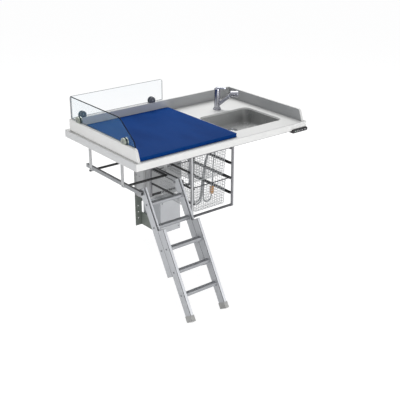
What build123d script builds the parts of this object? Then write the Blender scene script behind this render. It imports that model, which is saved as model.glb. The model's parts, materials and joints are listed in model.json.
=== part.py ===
from build123d import *
import os
from math import cos, radians, sin, tan

# Nursery changing table with a bath tub, height-adjustable on a wall lift.
# Millimetres. Pieces are drawn in the table's own corner frame: x from the left edge, y from the
# front edge, z from the underside of the rim. They are written about the centre of the wall
# bolts, with y = 0 on the wall and +z up.

# Overall sizes and heights
TABLE_LENGTH = 1400
TABLE_DEPTH = 850
WALL_GAP = 10
RIM_ABOVE_FLOOR = 900
MOUNT_ABOVE_FLOOR = 373

# Shared small sizes
FIT = 0.3
RUNNING_FIT = 0.05
OVERRUN = 2

# Worktop moulding
RIM_HEIGHT = 48
SKIRT_WALL = 12
DECK_THICKNESS = 12
RIM_EDGE_RADIUS = 4
UPSTAND_HEIGHT = 79
SIDE_LEDGE = 19
REAR_LEDGE = 39
SIDE_UPSTAND = 20
REAR_UPSTAND = 24
UPSTAND_FRONT = 40
UPSTAND_TOE = 12
UPSTAND_NOSE_RADIUS = 24
UPSTAND_TOP_RADIUS = 5

# Bath tub
TUB_LEFT = 846
TUB_FROM_RIGHT = 108
TUB_FRONT = 122
TUB_WIDTH = 384
TUB_DEPTH = 106
TUB_CORNER_RADIUS = 45
TUB_DRAW = 16
TUB_FOOT_RADIUS = 22
TUB_WALL = 4
TUB_FLANGE = 14
DRAIN_FROM_REAR = 110

# Drain
DRAIN_BORE = 52
DRAIN_FLANGE_RADIUS = 37
DRAIN_FLANGE_HEIGHT = 3
DRAIN_SLEEVE_WALL = 3
DRAIN_SLEEVE_LENGTH = 34
PLUG_RADIUS = 22
PLUG_HEIGHT = 4
PLUG_STEM_RADIUS = 4
PLUG_GUIDE_WIDTH = 6
PLUG_GUIDE_HEIGHT = 4
PLUG_LIFT = 10
PLUG_BRIM = 3
TRAP_RADIUS = 35
TRAP_WALL = 3
TRAP_HEIGHT = 80
TRAP_COLLAR = 10
TRAP_OUTLET_RADIUS = 20
TRAP_OUTLET_LENGTH = 70
TRAP_NUT_RADIUS = 24
TRAP_NUT_LENGTH = 10
TRAP_OUTLET_DROP = 34

# Mattress
MATTRESS_LEFT = 41
MATTRESS_TUB_GAP = 48
MATTRESS_FRONT = 25
MATTRESS_REAR_GAP = 2
MATTRESS_THICKNESS = 27
MATTRESS_CROWN = 2.5
MATTRESS_DRAW = 2

# Glass screens and their clamps
GLASS_THICKNESS = 8
GLASS_TOP = 279
GLASS_LIFT = 4
REAR_GLASS_LEFT = 27
REAR_GLASS_LENGTH = 733
SIDE_GLASS_FRONT = 50
SIDE_GLASS_FROM_REAR = 58
SIDE_GLASS_SLOPE_FOOT = 58
SIDE_GLASS_SLOPE_RISE = 34
SIDE_GLASS_SLOPE_HEAD = 212
SIDE_GLASS_FOOT_RADIUS = 30
SIDE_GLASS_HEAD_RADIUS = 70
GLASS_CORNER_RADIUS = 12
CLAMP_RADIUS = 25
CLAMP_THICKNESS = 26
CLAMP_CENTRE_RISE = 14
CLAMP_CAP_RADIUS = 15
CLAMP_CAP_HEIGHT = 2
CLAMP_PIN_RADIUS = 6
REAR_CLAMP_INSETS = (85, 93)
SIDE_CLAMP_INSETS = (92, 113)

# Frame under the worktop
FRAME_BAR = 30
FRAME_WALL = 3
FRAME_FRONT_Y = 60
FRAME_REAR_Y = 640
FRAME_LEFT_X = 60
FRAME_MIDDLE_X = 395
FRAME_FROM_RIGHT = 50
LIFT_ARM_SPREAD = 110
LIFT_ARM_FROM_REAR = 30
CROSSHEAD_DEPTH = 80
CROSSHEAD_THICKNESS = 6

# Lift: column, actuator and covers
COLUMN_LENGTH = 120
COLUMN_DEPTH = 60
COLUMN_WALL = 3
COLUMN_FROM_WALL = 80
INNER_COLUMN_HEIGHT = 490
OUTER_COLUMN_WALL = 4.5
OUTER_COLUMN_TOP = 230
OUTER_COLUMN_HEIGHT = 467
COLUMN_CLEARANCE = 0.5
LIFT_ROD_RADIUS = 10
LIFT_ROD_LENGTH = 470
ACTUATOR_RADIUS = 20
ACTUATOR_HEIGHT = 440
GEARBOX_RADIUS = 28
GEARBOX_HEIGHT = 90
HOUSING_LENGTH = 320
HOUSING_DEPTH = 145
HOUSING_HEIGHT = 330
SHEET = 2
COVER_LENGTH = 178
COVER_PROUD = 75
COVER_BOTTOM = 820

# Wall frame
FLANGE_WIDTH = 56
FLANGE_THICKNESS = 5
FLANGE_TOP = 200
FLANGE_BOTTOM = 810
BOLT_SPREAD = 135
BOLT_RADIUS = 4.5
BOLT_RISES = (127, 177, 227)
BRACKET_BAR = 40
BRACKET_SPAN = 132
BRACKET_UPPER = 250
BRACKET_LOWER = 600
GUSSET_THICKNESS = 4
GUSSET_HEIGHT = 100
GUSSET_DEPTH = 135
TIE_HEIGHT = 50

# Ladder rails, their hangers and the carriage
LADDER_LEFT = 100
LADDER_WIDTH = 282
RAIL_GAP = 6
RAIL_WIDTH = 16
RAIL_HEIGHT = 24
RAIL_WALL = 2.5
RAIL_DROP = 173
RAIL_FRONT_Y = 82
RAIL_LENGTH = 645
HANGER_WIDTH = 30
HANGER_THICKNESS = 4
HANGER_FRONT_Y = 280
HANGER_BEHIND_BAR = 23
HANGER_BOLT_RADIUS = 6.5
HANGER_BOLT_HEIGHT = 5
SPREADER_RADIUS = 8
CARRIAGE_CLEARANCE = 0.5
CARRIAGE_FRONT_Y = 100
CARRIAGE_LENGTH = 162
CARRIAGE_BAR_Y = 249
CARRIAGE_BAR_RADIUS = 8
HINGE_Y = 119
HINGE_PIN_RADIUS = 5
HINGE_PIN_PROUD = 2
HINGE_BUSH_RADIUS = 8

# Ladder
LADDER_ANGLE = 60
RIGHT_ANGLE = 90
STILE_THICKNESS = 22
STILE_DEPTH = 60
STILE_WALL = 2.5
STILE_REAR = 8
STILE_TOP = 12
UPPER_LENGTH = 564
LOWER_START = 265
LOWER_LENGTH = 554
SECTION_GAP = 0.5
RUNG_PITCH = 147
RUNG_START = 91
UPPER_RUNGS = 3
LOWER_RUNGS = 3
TREAD_DEPTH = 32
TREAD_HEIGHT = 20
TREAD_RADIUS = 4
TREAD_GROOVES = 4
GROOVE_WIDTH = 2
GROOVE_DEPTH = 1
STUD_RADIUS = 4
STUD_HEAD_RADIUS = 6
STUD_HEAD_HEIGHT = 3
SLIDER_FROM_EDGE = 6.8
SLIDER_SLOT = 5
SLIDER_NECK = 4
SLIDER_HEAD = 8
SLIDER_HEAD_THICKNESS = 3
SLIDER_LENGTH = 60
SLIDER_INSET = 5
FOOT_LENGTH = 40
FOOT_SOCKET = 12
FOOT_WALL = 2

# Basket frame and baskets
BAY_LEFT = 432
BAY_LENGTH = 348
BAY_FRONT_Y = 35
BAY_DEPTH = 472
BAY_BOTTOM = 428
POST = 13
RUNNER_TOP_DROP = 26
RUNNER_PITCH = 104
RUNNERS = 4
RUNNER_HEIGHT = 10
RUNNER_THICKNESS = 4
RUNNER_LEDGE = 16
RUNNER_LEDGE_THICKNESS = 3
CROSS_RAIL = 12
BASKET_SIDE_GAP = 3
BASKET_FRONT_Y = 45
BASKET_RIM = 8
BASKET_RIM_HEIGHT = 6
BASKET_RIM_DEPTH = 424
BASKET_SHOULDER = 22
BASKET_DRAW = 12
BASKET_HEIGHT = 186
BASKET_WALL = 1
BASKET_CORNER_RADIUS = 16
BASKET_RUNNERS = (0, 2)

# Tap
TAP_RIGHT_OF_DRAIN = 21
TAP_BEHIND_TUB = 85
TAP_FLANGE_RADIUS = 29
TAP_FLANGE_HEIGHT = 6
TAP_BASE_RADIUS = 24
TAP_BASE_HEIGHT = 14
TAP_RADIUS = 21
TAP_BODY_HEIGHT = 122
TAP_SPIGOT_RADIUS = 12
TAP_SPIGOT_HEIGHT = 10
TAP_SHANK_RADIUS = 16
TAP_HOLE_RADIUS = 16.5
TAP_SHANK_LENGTH = 84
TAP_NUT_RADIUS = 26
TAP_NUT_HEIGHT = 12
SPOUT_RADIUS = 12.5
SPOUT_START = 12
SPOUT_LENGTH = 118
SPOUT_TURN = 35
SPOUT_RISE = 40
SPOUT_BORE_RADIUS = 8
SPRAY_RADIUS = 21
SPRAY_LENGTH = 56
SPRAY_RISE = 5
SPRAY_NECK = 14
SPRAY_BACK = 12
SPRAY_COLLAR_RADIUS = 15
SPRAY_COLLAR_LENGTH = 14
SPRAY_HOSE_RADIUS = 5
SPRAY_HOSE_LENGTH = 90
SPRAY_EDGE_RADIUS = 5
CAP_HEIGHT = 16
CAP_SPIGOT_RADIUS = 9
CAP_SPIGOT_HEIGHT = 8
CAP_EDGE_RADIUS = 3
LEVER_TURN = 35
LEVER_REACH = 65
LEVER_WIDTH = 22
LEVER_THICKNESS = 9
LEVER_PIVOT = 8
LEVER_START = 1
LEVER_EAR = 9
LEVER_SLOT_DEPTH = 11
LEVER_GAP = 0.4

# Hoses under the tap, and the brass weight on the spray hose
HOSE_RADIUS = 5
WEIGHT_RADIUS = 16
WEIGHT_LENGTH = 58
WEIGHT_EDGE_RADIUS = 5
CONNECTOR_LEFT = 862
CONNECTOR_LENGTH = 44
CONNECTOR_FRONT_Y = 576
CONNECTOR_DEPTH = 46
CONNECTOR_HEIGHT = 70
CONNECTOR_SPOUT_RADIUS = 6.5
SHANK_SPOUT_RADIUS = 5.5

# Control panel under the front rim
PANEL_FROM_RIGHT = 1
PANEL_LENGTH = 142
PANEL_HEIGHT = 25
PANEL_LAP = 9
PANEL_PROUD = 12
PANEL_DEPTH = 60
PANEL_END_RADIUS = 9
PANEL_EDGE_CHAMFER = 2
BUTTON_LENGTH = 16
BUTTON_HEIGHT = 11
BUTTON_PROUD = 2
BUTTON_TRAVEL = 1.5
BUTTON_SINK = 3
BUTTON_GAP = 0.3
BUTTON_RADIUS = 2
BUTTONS_FROM_RIGHT = (54, 26)
LAMP_LENGTH = 10
LAMP_HEIGHT = 6
LAMP_DEPTH = 0.8
LAMP_FROM_LEFT = 28

# Routes of the limp hoses, from the tap down and round. Their tightest bends are three diameters.
SPRAY_HOSE_ROUTE = [
    (1097.5, 583.5, -62), (1097.5, 583.5, -138), (1080, 581, -215), (1050, 579, -300),
    (1038, 582, -618), (1015, 584, -641), (982, 584, -641), (958.5, 582, -617),
    (957, 580, -540), (963, 578, -440), (980, 578, -340), (1005, 579, -245),
    (1044, 582, -166), (1082.5, 583.5, -126), (1082.5, 583.5, -62),
]
HOT_HOSE_ROUTE = [
    (1082.5, 598.5, -62), (1082.5, 598.5, -112), (1060, 596, -160), (1014, 594, -238),
    (983, 593, -335), (966, 593, -440), (957, 594, -545), (949, 595, -626), (928, 596, -647),
    (899, 596, -647), (878, 594, -625), (875, 592, -545), (874, 590, -450),
    (876, 588.5, -350), (880, 588, -250), (884, 589, -150), (884, 589, -52),
]
COLD_HOSE_ROUTE = [
    (1097.5, 598.5, -62), (1097.5, 598.5, -118), (1074, 604, -172), (1030, 608, -244),
    (994, 608, -335), (973, 607, -435), (962, 607.5, -535), (954, 609, -612),
    (932, 610.5, -634), (903, 611, -634), (882, 610, -612), (878, 608, -535),
    (877, 606, -445), (879, 604.5, -350), (882, 604, -250), (884, 605, -150), (884, 605, -52),
]
BEND_SHARE = 0.45
WEIGHTED_STRETCH = SPRAY_HOSE_ROUTE[3:5]
WEIGHT_STRETCH_SHARE = 0.815

# Worked-out places
DECK_TOP = RIM_HEIGHT
DECK_UNDER = RIM_HEIGHT - DECK_THICKNESS
UPSTAND_TOP = RIM_HEIGHT + UPSTAND_HEIGHT
GLASS_FOOT = UPSTAND_TOP + GLASS_LIFT
TUB_RIGHT = TABLE_LENGTH - TUB_FROM_RIGHT
TUB_LENGTH = TUB_RIGHT - TUB_LEFT
TUB_REAR = TUB_FRONT + TUB_WIDTH
TUB_FLOOR = RIM_HEIGHT - TUB_DEPTH
DRAIN_X = TUB_LEFT + TUB_LENGTH / 2
DRAIN_Y = TUB_REAR - DRAIN_FROM_REAR
MIDDLE_X = TABLE_LENGTH / 2
WALL_Y = TABLE_DEPTH + WALL_GAP
REAR_FACE_Y = TABLE_DEPTH - REAR_LEDGE - REAR_UPSTAND
MATTRESS_LENGTH = TUB_LEFT - MATTRESS_TUB_GAP - MATTRESS_LEFT
MATTRESS_WIDTH = REAR_FACE_Y - MATTRESS_REAR_GAP - MATTRESS_FRONT
REAR_GLASS_RIGHT = REAR_GLASS_LEFT + REAR_GLASS_LENGTH
SIDE_GLASS_REAR = TABLE_DEPTH - SIDE_GLASS_FROM_REAR
REAR_CLAMP_XS = (
    REAR_GLASS_LEFT + REAR_CLAMP_INSETS[0], REAR_GLASS_RIGHT - REAR_CLAMP_INSETS[1])
SIDE_CLAMP_YS = (SIDE_GLASS_REAR - SIDE_CLAMP_INSETS[0], SIDE_GLASS_FRONT + SIDE_CLAMP_INSETS[1])
TAP_X = DRAIN_X + TAP_RIGHT_OF_DRAIN
TAP_Y = TUB_REAR + TAP_BEHIND_TUB
FRAME_RIGHT_X = TABLE_LENGTH - FRAME_FROM_RIGHT - FRAME_BAR
LIFT_ARM_REAR_Y = TABLE_DEPTH - LIFT_ARM_FROM_REAR
COLUMN_CENTRE_Y = WALL_Y - COLUMN_FROM_WALL
HOUSING_FRONT_Y = WALL_Y - HOUSING_DEPTH
HOUSING_FOOT = -OUTER_COLUMN_TOP - HOUSING_HEIGHT
COVER_FRONT_Y = HOUSING_FRONT_Y - COVER_PROUD
GUSSET_FRONT_Y = WALL_Y - GUSSET_DEPTH
HANGER_REAR_Y = FRAME_REAR_Y + HANGER_BEHIND_BAR
PANEL_RIGHT = TABLE_LENGTH - PANEL_FROM_RIGHT
PANEL_LEFT = PANEL_RIGHT - PANEL_LENGTH
PANEL_MIDDLE_Z = PANEL_LAP - PANEL_HEIGHT / 2
FRAME_UNDER = DECK_UNDER - FRAME_BAR
LADDER_RIGHT = LADDER_LEFT + LADDER_WIDTH
LADDER_MIDDLE = LADDER_LEFT + LADDER_WIDTH / 2
RAIL_LEFT_X = LADDER_LEFT - RAIL_GAP - RAIL_WIDTH
RAIL_MIDDLE_Z = -RAIL_DROP - RAIL_HEIGHT / 2
HOSE_ROUTES = {
    "spray_hose": SPRAY_HOSE_ROUTE,
    "supply_hose_hot": HOT_HOSE_ROUTE,
    "supply_hose_cold": COLD_HOSE_ROUTE,
}
LADDER_FRAME = Location((0, HINGE_Y, RAIL_MIDDLE_Z), (LADDER_ANGLE - RIGHT_ANGLE, 0, 0))
TO_WALL_FRAME = Location((-MIDDLE_X, -WALL_Y, RIM_ABOVE_FLOOR - MOUNT_ABOVE_FLOOR))


def block(x0, x1, y0, y1, z0, z1):
    """Box between two opposite corners."""
    centre = ((x0 + x1) / 2, (y0 + y1) / 2, (z0 + z1) / 2)
    return Location(centre) * Box(x1 - x0, y1 - y0, z1 - z0)


def rod(start, end, radius):
    """Round bar from one point to another."""
    axis = Vector(*end) - Vector(*start)
    return extrude(Plane(origin=start, z_dir=axis) * Circle(radius), axis.length)


def mirror_x(shape, middle):
    """Mirror image of a shape about a plane x = middle."""
    return mirror(shape, Plane(origin=(middle, 0, 0), x_dir=(0, 1, 0), z_dir=(1, 0, 0)))


def write(name, shape):
    """Write one piece as its own STEP file, placed about the wall bolts."""
    export_step(TO_WALL_FRAME * shape, "parts/" + name + ".step")


# Worktop moulding with its upstands

def upstand_profile(y_rear):
    """Side view of an end upstand: full height at the rear, a raked nose at the front."""
    outline = Polyline(
        (UPSTAND_TOE, DECK_TOP - OVERRUN),
        (UPSTAND_TOE, DECK_TOP),
        (UPSTAND_FRONT, UPSTAND_TOP),
        (y_rear, UPSTAND_TOP),
        (y_rear, DECK_TOP - OVERRUN),
        close=True,
    )
    face = make_face(outline)
    nose = face.vertices().filter_by_position(Axis.X, UPSTAND_FRONT - FIT, UPSTAND_FRONT + FIT)
    return fillet(nose, UPSTAND_NOSE_RADIUS)


def side_upstand():
    """Left end upstand."""
    y_rear = TABLE_DEPTH - REAR_LEDGE
    plane = Plane(origin=(SIDE_LEDGE, 0, 0), x_dir=(0, 1, 0), z_dir=(1, 0, 0))
    wall = extrude(plane * upstand_profile(y_rear), SIDE_UPSTAND)
    return wall


def rear_upstand():
    """Upstand along the wall side."""
    y_rear = TABLE_DEPTH - REAR_LEDGE
    return block(
        SIDE_LEDGE, TABLE_LENGTH - SIDE_LEDGE, y_rear - REAR_UPSTAND, y_rear,
        DECK_TOP - OVERRUN, UPSTAND_TOP,
    )


def tub_opening(z0, z1):
    """The hole in the deck over the tub."""
    hole = RectangleRounded(TUB_LENGTH, TUB_WIDTH, TUB_CORNER_RADIUS)
    place = Plane.XY.offset(z0) * Location((TUB_LEFT + TUB_LENGTH / 2, TUB_FRONT + TUB_WIDTH / 2))
    return extrude(place * hole, z1 - z0)


def worktop():
    """White moulded worktop: rim, deck and three upstands in one piece."""
    tray = block(0, TABLE_LENGTH, 0, TABLE_DEPTH, 0, RIM_HEIGHT)
    tray = fillet(tray.edges().filter_by(Axis.Z), RIM_EDGE_RADIUS * 2)
    tray = fillet(tray.edges().group_by(Axis.Z)[-1], RIM_EDGE_RADIUS)
    tray -= block(
        SKIRT_WALL, TABLE_LENGTH - SKIRT_WALL, SKIRT_WALL, TABLE_DEPTH - SKIRT_WALL,
        -OVERRUN, DECK_UNDER,
    )
    left = side_upstand()
    walls = left + mirror_x(left, MIDDLE_X) + rear_upstand()
    top_edges = walls.edges().filter_by_position(Axis.Z, UPSTAND_TOP - FIT, UPSTAND_TOP + FIT)
    walls = fillet(top_edges, UPSTAND_TOP_RADIUS)
    tray += walls
    tray -= tub_opening(-OVERRUN, RIM_HEIGHT + OVERRUN)
    tray -= rod((TAP_X, TAP_Y, 0), (TAP_X, TAP_Y, RIM_HEIGHT + OVERRUN), TAP_HOLE_RADIUS)
    return tray


# Bath tub and its drain

def tub_body(grow, floor, foot_radius):
    """Tapered tub form, larger by grow all round, down to the given floor height."""
    length = TUB_LENGTH + 2 * grow
    width = TUB_WIDTH + 2 * grow
    middle = Location((TUB_LEFT + TUB_LENGTH / 2, TUB_FRONT + TUB_WIDTH / 2))
    top = Plane.XY.offset(DECK_UNDER) * middle * RectangleRounded(
        length, width, TUB_CORNER_RADIUS + grow)
    foot = Plane.XY.offset(floor) * middle * RectangleRounded(
        length - 2 * TUB_DRAW, width - 2 * TUB_DRAW, TUB_CORNER_RADIUS + grow)
    body = loft([top, foot])
    return fillet(body.edges().group_by(Axis.Z)[0], foot_radius)


def bath_tub():
    """Shallow tub hung under the deck opening by a flange."""
    flange = block(
        TUB_LEFT - TUB_FLANGE, TUB_RIGHT + TUB_FLANGE, TUB_FRONT - TUB_FLANGE, TUB_REAR + TUB_FLANGE,
        DECK_UNDER - TUB_WALL, DECK_UNDER,
    )
    flange = fillet(flange.edges().filter_by(Axis.Z), TUB_CORNER_RADIUS)
    outer = tub_body(TUB_WALL, TUB_FLOOR - TUB_WALL, TUB_FOOT_RADIUS + TUB_WALL)
    inner = tub_body(0, TUB_FLOOR, TUB_FOOT_RADIUS)
    tub = flange + outer - inner
    return tub - rod(
        (DRAIN_X, DRAIN_Y, TUB_FLOOR - TUB_DEPTH), (DRAIN_X, DRAIN_Y, TUB_FLOOR + OVERRUN),
        DRAIN_BORE / 2,
    )


def upright_rod(x, y, z0, z1, radius):
    """Vertical round bar."""
    return rod((x, y, z0), (x, y, z1), radius)


def drain_fitting():
    """Flanged drain sleeve with a three-armed spider that guides the plug stem."""
    sleeve_radius = DRAIN_BORE / 2 - RUNNING_FIT
    bore_radius = sleeve_radius - DRAIN_SLEEVE_WALL
    top = TUB_FLOOR + DRAIN_FLANGE_HEIGHT
    bottom = TUB_FLOOR - DRAIN_SLEEVE_LENGTH
    body = upright_rod(DRAIN_X, DRAIN_Y, TUB_FLOOR, top, DRAIN_FLANGE_RADIUS)
    body += upright_rod(DRAIN_X, DRAIN_Y, bottom, top, sleeve_radius)
    body -= upright_rod(DRAIN_X, DRAIN_Y, bottom - OVERRUN, top + OVERRUN, bore_radius)
    half = PLUG_GUIDE_WIDTH / 2
    spider = upright_rod(
        DRAIN_X, DRAIN_Y, bottom, bottom + PLUG_GUIDE_HEIGHT, PLUG_STEM_RADIUS + DRAIN_SLEEVE_WALL)
    spider += block(
        DRAIN_X - bore_radius, DRAIN_X + bore_radius, DRAIN_Y - half, DRAIN_Y + half,
        bottom, bottom + PLUG_GUIDE_HEIGHT)
    spider += block(
        DRAIN_X - half, DRAIN_X + half, DRAIN_Y - bore_radius, DRAIN_Y + bore_radius,
        bottom, bottom + PLUG_GUIDE_HEIGHT)
    body += spider
    return body - upright_rod(
        DRAIN_X, DRAIN_Y, bottom - OVERRUN, bottom + PLUG_GUIDE_HEIGHT + OVERRUN,
        PLUG_STEM_RADIUS + RUNNING_FIT)


def drain_plug():
    """Lift-up plug: a cap over the drain with a stem through the spider."""
    seat = TUB_FLOOR + DRAIN_FLANGE_HEIGHT
    bottom = TUB_FLOOR - DRAIN_SLEEVE_LENGTH - PLUG_LIFT - OVERRUN
    cap = upright_rod(DRAIN_X, DRAIN_Y, seat, seat + PLUG_HEIGHT, PLUG_RADIUS + PLUG_BRIM)
    cap = fillet(cap.edges().group_by(Axis.Z)[-1], PLUG_HEIGHT / 2)
    return cap + upright_rod(DRAIN_X, DRAIN_Y, bottom, seat, PLUG_STEM_RADIUS)


def drain_trap():
    """Bottle trap on the drain sleeve with an outlet stub to the right."""
    top = TUB_FLOOR - TUB_WALL - RUNNING_FIT
    bottom = top - TRAP_HEIGHT
    sleeve_radius = DRAIN_BORE / 2 - RUNNING_FIT
    body = upright_rod(DRAIN_X, DRAIN_Y, bottom, top, TRAP_RADIUS)
    body = fillet(body.edges().group_by(Axis.Z)[0], TRAP_WALL * 2)
    outlet_z = top - TRAP_OUTLET_DROP
    nut_end = DRAIN_X + TRAP_RADIUS + TRAP_NUT_LENGTH
    outlet_end = DRAIN_X + TRAP_RADIUS + TRAP_OUTLET_LENGTH
    body += rod((DRAIN_X, DRAIN_Y, outlet_z), (nut_end, DRAIN_Y, outlet_z), TRAP_NUT_RADIUS)
    body += rod((DRAIN_X, DRAIN_Y, outlet_z), (outlet_end, DRAIN_Y, outlet_z), TRAP_OUTLET_RADIUS)
    hollow = upright_rod(
        DRAIN_X, DRAIN_Y, bottom + TRAP_WALL, top - TRAP_COLLAR, TRAP_RADIUS - TRAP_WALL)
    hollow += rod(
        (DRAIN_X, DRAIN_Y, outlet_z), (outlet_end + OVERRUN, DRAIN_Y, outlet_z),
        TRAP_OUTLET_RADIUS - TRAP_WALL)
    body -= hollow
    return body - upright_rod(
        DRAIN_X, DRAIN_Y, top - TRAP_COLLAR - OVERRUN, top + OVERRUN, sleeve_radius + RUNNING_FIT)


# Mattress

def mattress():
    """Flat foam pad: a slight crown on top and sides drawn in a little."""
    x1 = MATTRESS_LEFT + MATTRESS_LENGTH
    y1 = MATTRESS_FRONT + MATTRESS_WIDTH
    z0 = DECK_TOP + FIT
    z1 = z0 + MATTRESS_THICKNESS - MATTRESS_CROWN
    y_mid = (MATTRESS_FRONT + y1) / 2
    z_mid = (z0 + z1) / 2
    outline = [
        Line((MATTRESS_FRONT, z0), (y1, z0)),
        ThreePointArc((y1, z0), (y1 - MATTRESS_DRAW, z_mid), (y1, z1)),
        ThreePointArc((y1, z1), (y_mid, z1 + MATTRESS_CROWN), (MATTRESS_FRONT, z1)),
        ThreePointArc(
            (MATTRESS_FRONT, z1), (MATTRESS_FRONT + MATTRESS_DRAW, z_mid), (MATTRESS_FRONT, z0)),
    ]
    plane = Plane(origin=(MATTRESS_LEFT, 0, 0), x_dir=(0, 1, 0), z_dir=(1, 0, 0))
    return extrude(plane * make_face(outline), x1 - MATTRESS_LEFT)


# Glass screens and clamps

def clamp_pin_hole(x, y, z, along_x):
    """Hole through a pane for one clamp pin."""
    reach = GLASS_THICKNESS
    radius = CLAMP_PIN_RADIUS + FIT
    if along_x:
        return rod((x - reach, y, z), (x + reach, y, z), radius)
    return rod((x, y - reach, z), (x, y + reach, z), radius)


def rear_glass_y():
    """Middle plane of the rear pane."""
    return TABLE_DEPTH - REAR_LEDGE - REAR_UPSTAND / 2


def side_glass_x():
    """Middle plane of the side pane."""
    return SIDE_LEDGE + SIDE_UPSTAND / 2


def glass_screen_rear():
    """Rear glass pane with rounded top corners."""
    y = rear_glass_y()
    half = GLASS_THICKNESS / 2
    pane = block(
        REAR_GLASS_LEFT, REAR_GLASS_RIGHT, y - half, y + half,
        GLASS_FOOT, GLASS_TOP)
    corners = pane.edges().filter_by(Axis.Y).group_by(Axis.Z)[-1]
    pane = fillet(corners, GLASS_CORNER_RADIUS)
    for x in REAR_CLAMP_XS:
        pane -= clamp_pin_hole(x, y, UPSTAND_TOP + CLAMP_CENTRE_RISE, False)
    return pane


def glass_screen_side():
    """Side glass pane whose front sweeps down to the upstand."""
    outline = FilletPolyline(
        (SIDE_GLASS_FRONT, GLASS_FOOT),
        (SIDE_GLASS_SLOPE_FOOT, GLASS_FOOT + SIDE_GLASS_SLOPE_RISE),
        (SIDE_GLASS_SLOPE_HEAD, GLASS_TOP),
        (SIDE_GLASS_REAR, GLASS_TOP),
        radius=[SIDE_GLASS_FOOT_RADIUS, SIDE_GLASS_HEAD_RADIUS],
    )
    closing = Polyline(
        (SIDE_GLASS_REAR, GLASS_TOP), (SIDE_GLASS_REAR, GLASS_FOOT), (SIDE_GLASS_FRONT, GLASS_FOOT))
    x = side_glass_x()
    plane = Plane(origin=(x - GLASS_THICKNESS / 2, 0, 0), x_dir=(0, 1, 0), z_dir=(1, 0, 0))
    pane = extrude(plane * make_face(outline + closing), GLASS_THICKNESS)
    for y in SIDE_CLAMP_YS:
        pane -= clamp_pin_hole(x, y, UPSTAND_TOP + CLAMP_CENTRE_RISE, True)
    return pane


def glass_clamp():
    """Round clamp standing on an upstand at the origin, its slot across x, glass plane y = 0."""
    half = CLAMP_THICKNESS / 2
    z = CLAMP_CENTRE_RISE
    body = rod((0, -half, z), (0, half, z), CLAMP_RADIUS)
    body += rod((0, -half - CLAMP_CAP_HEIGHT, z), (0, half + CLAMP_CAP_HEIGHT, z), CLAMP_CAP_RADIUS)
    below = CLAMP_RADIUS * 2
    body -= block(-below, below, -below, below, -below, 0)
    slot = GLASS_THICKNESS / 2 + FIT
    body -= block(-below, below, -slot, slot, GLASS_LIFT - FIT, below)
    return body + rod((0, -half, z), (0, half, z), CLAMP_PIN_RADIUS)


def write_clamps():
    """Two clamps on the rear upstand and two on the left one."""
    clamp = glass_clamp()
    for name, x in zip(("clamp_rear_left", "clamp_rear_right"), REAR_CLAMP_XS):
        write(name, Location((x, rear_glass_y(), UPSTAND_TOP)) * clamp)
    turned = Rotation(0, 0, RIGHT_ANGLE) * clamp
    for name, y in zip(("clamp_side_rear", "clamp_side_front"), SIDE_CLAMP_YS):
        write(name, Location((side_glass_x(), y, UPSTAND_TOP)) * turned)


# Frame under the worktop

def frame_channels(wall):
    """Bars of the under-frame, drawn in by wall on each side, open downwards."""
    z0 = FRAME_UNDER - (OVERRUN if wall else 0)
    z1 = DECK_UNDER - wall
    bar = FRAME_BAR - wall
    x0 = FRAME_LEFT_X + wall
    x1 = FRAME_RIGHT_X + bar
    shape = block(x0, x1, FRAME_FRONT_Y + wall, FRAME_FRONT_Y + bar, z0, z1)
    shape += block(x0, x1, FRAME_REAR_Y + wall, FRAME_REAR_Y + bar, z0, z1)
    for x in (FRAME_LEFT_X, FRAME_MIDDLE_X, FRAME_RIGHT_X):
        shape += block(x + wall, x + bar, FRAME_FRONT_Y + wall, FRAME_REAR_Y + bar, z0, z1)
    for side in (-1, 1):
        x = MIDDLE_X + side * LIFT_ARM_SPREAD - FRAME_BAR / 2
        shape += block(
            x + wall, x + bar, FRAME_FRONT_Y + wall, LIFT_ARM_REAR_Y - wall, z0, z1)
    return shape


def table_frame():
    """Welded channel frame that carries the worktop, with a crosshead plate over the column."""
    frame = frame_channels(0) - frame_channels(FRAME_WALL)
    reach = LIFT_ARM_SPREAD + FRAME_BAR / 2
    crosshead = block(
        MIDDLE_X - reach, MIDDLE_X + reach,
        COLUMN_CENTRE_Y - CROSSHEAD_DEPTH / 2, COLUMN_CENTRE_Y + CROSSHEAD_DEPTH / 2,
        FRAME_UNDER - CROSSHEAD_THICKNESS, FRAME_UNDER)
    return frame + crosshead


# Lift column, actuator and covers

def column_block(grow, z0, z1):
    """Upright block on the column's axis, larger by grow all round."""
    half_x = COLUMN_LENGTH / 2 + grow
    half_y = COLUMN_DEPTH / 2 + grow
    return block(
        MIDDLE_X - half_x, MIDDLE_X + half_x, COLUMN_CENTRE_Y - half_y, COLUMN_CENTRE_Y + half_y,
        z0, z1)


def lift_inner_column():
    """Sliding column under the crosshead, with the actuator's push rod fixed in its top plate."""
    top = FRAME_UNDER - CROSSHEAD_THICKNESS
    column = column_block(0, top - INNER_COLUMN_HEIGHT, top)
    column -= column_block(
        -COLUMN_WALL, top - INNER_COLUMN_HEIGHT - OVERRUN, top - CROSSHEAD_THICKNESS)
    return column + upright_rod(
        MIDDLE_X, COLUMN_CENTRE_Y, top - LIFT_ROD_LENGTH, top, LIFT_ROD_RADIUS)


def lift_outer_column():
    """Fixed guide column with a floor plate that the actuator stands through."""
    grow = COLUMN_CLEARANCE + OUTER_COLUMN_WALL
    bottom = -OUTER_COLUMN_TOP - OUTER_COLUMN_HEIGHT
    column = column_block(grow, bottom, -OUTER_COLUMN_TOP)
    column -= column_block(COLUMN_CLEARANCE, bottom + OUTER_COLUMN_WALL, -OUTER_COLUMN_TOP + OVERRUN)
    return column - upright_rod(
        MIDDLE_X, COLUMN_CENTRE_Y, bottom - OVERRUN, bottom + OUTER_COLUMN_WALL + OVERRUN,
        ACTUATOR_RADIUS + FIT)


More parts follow.
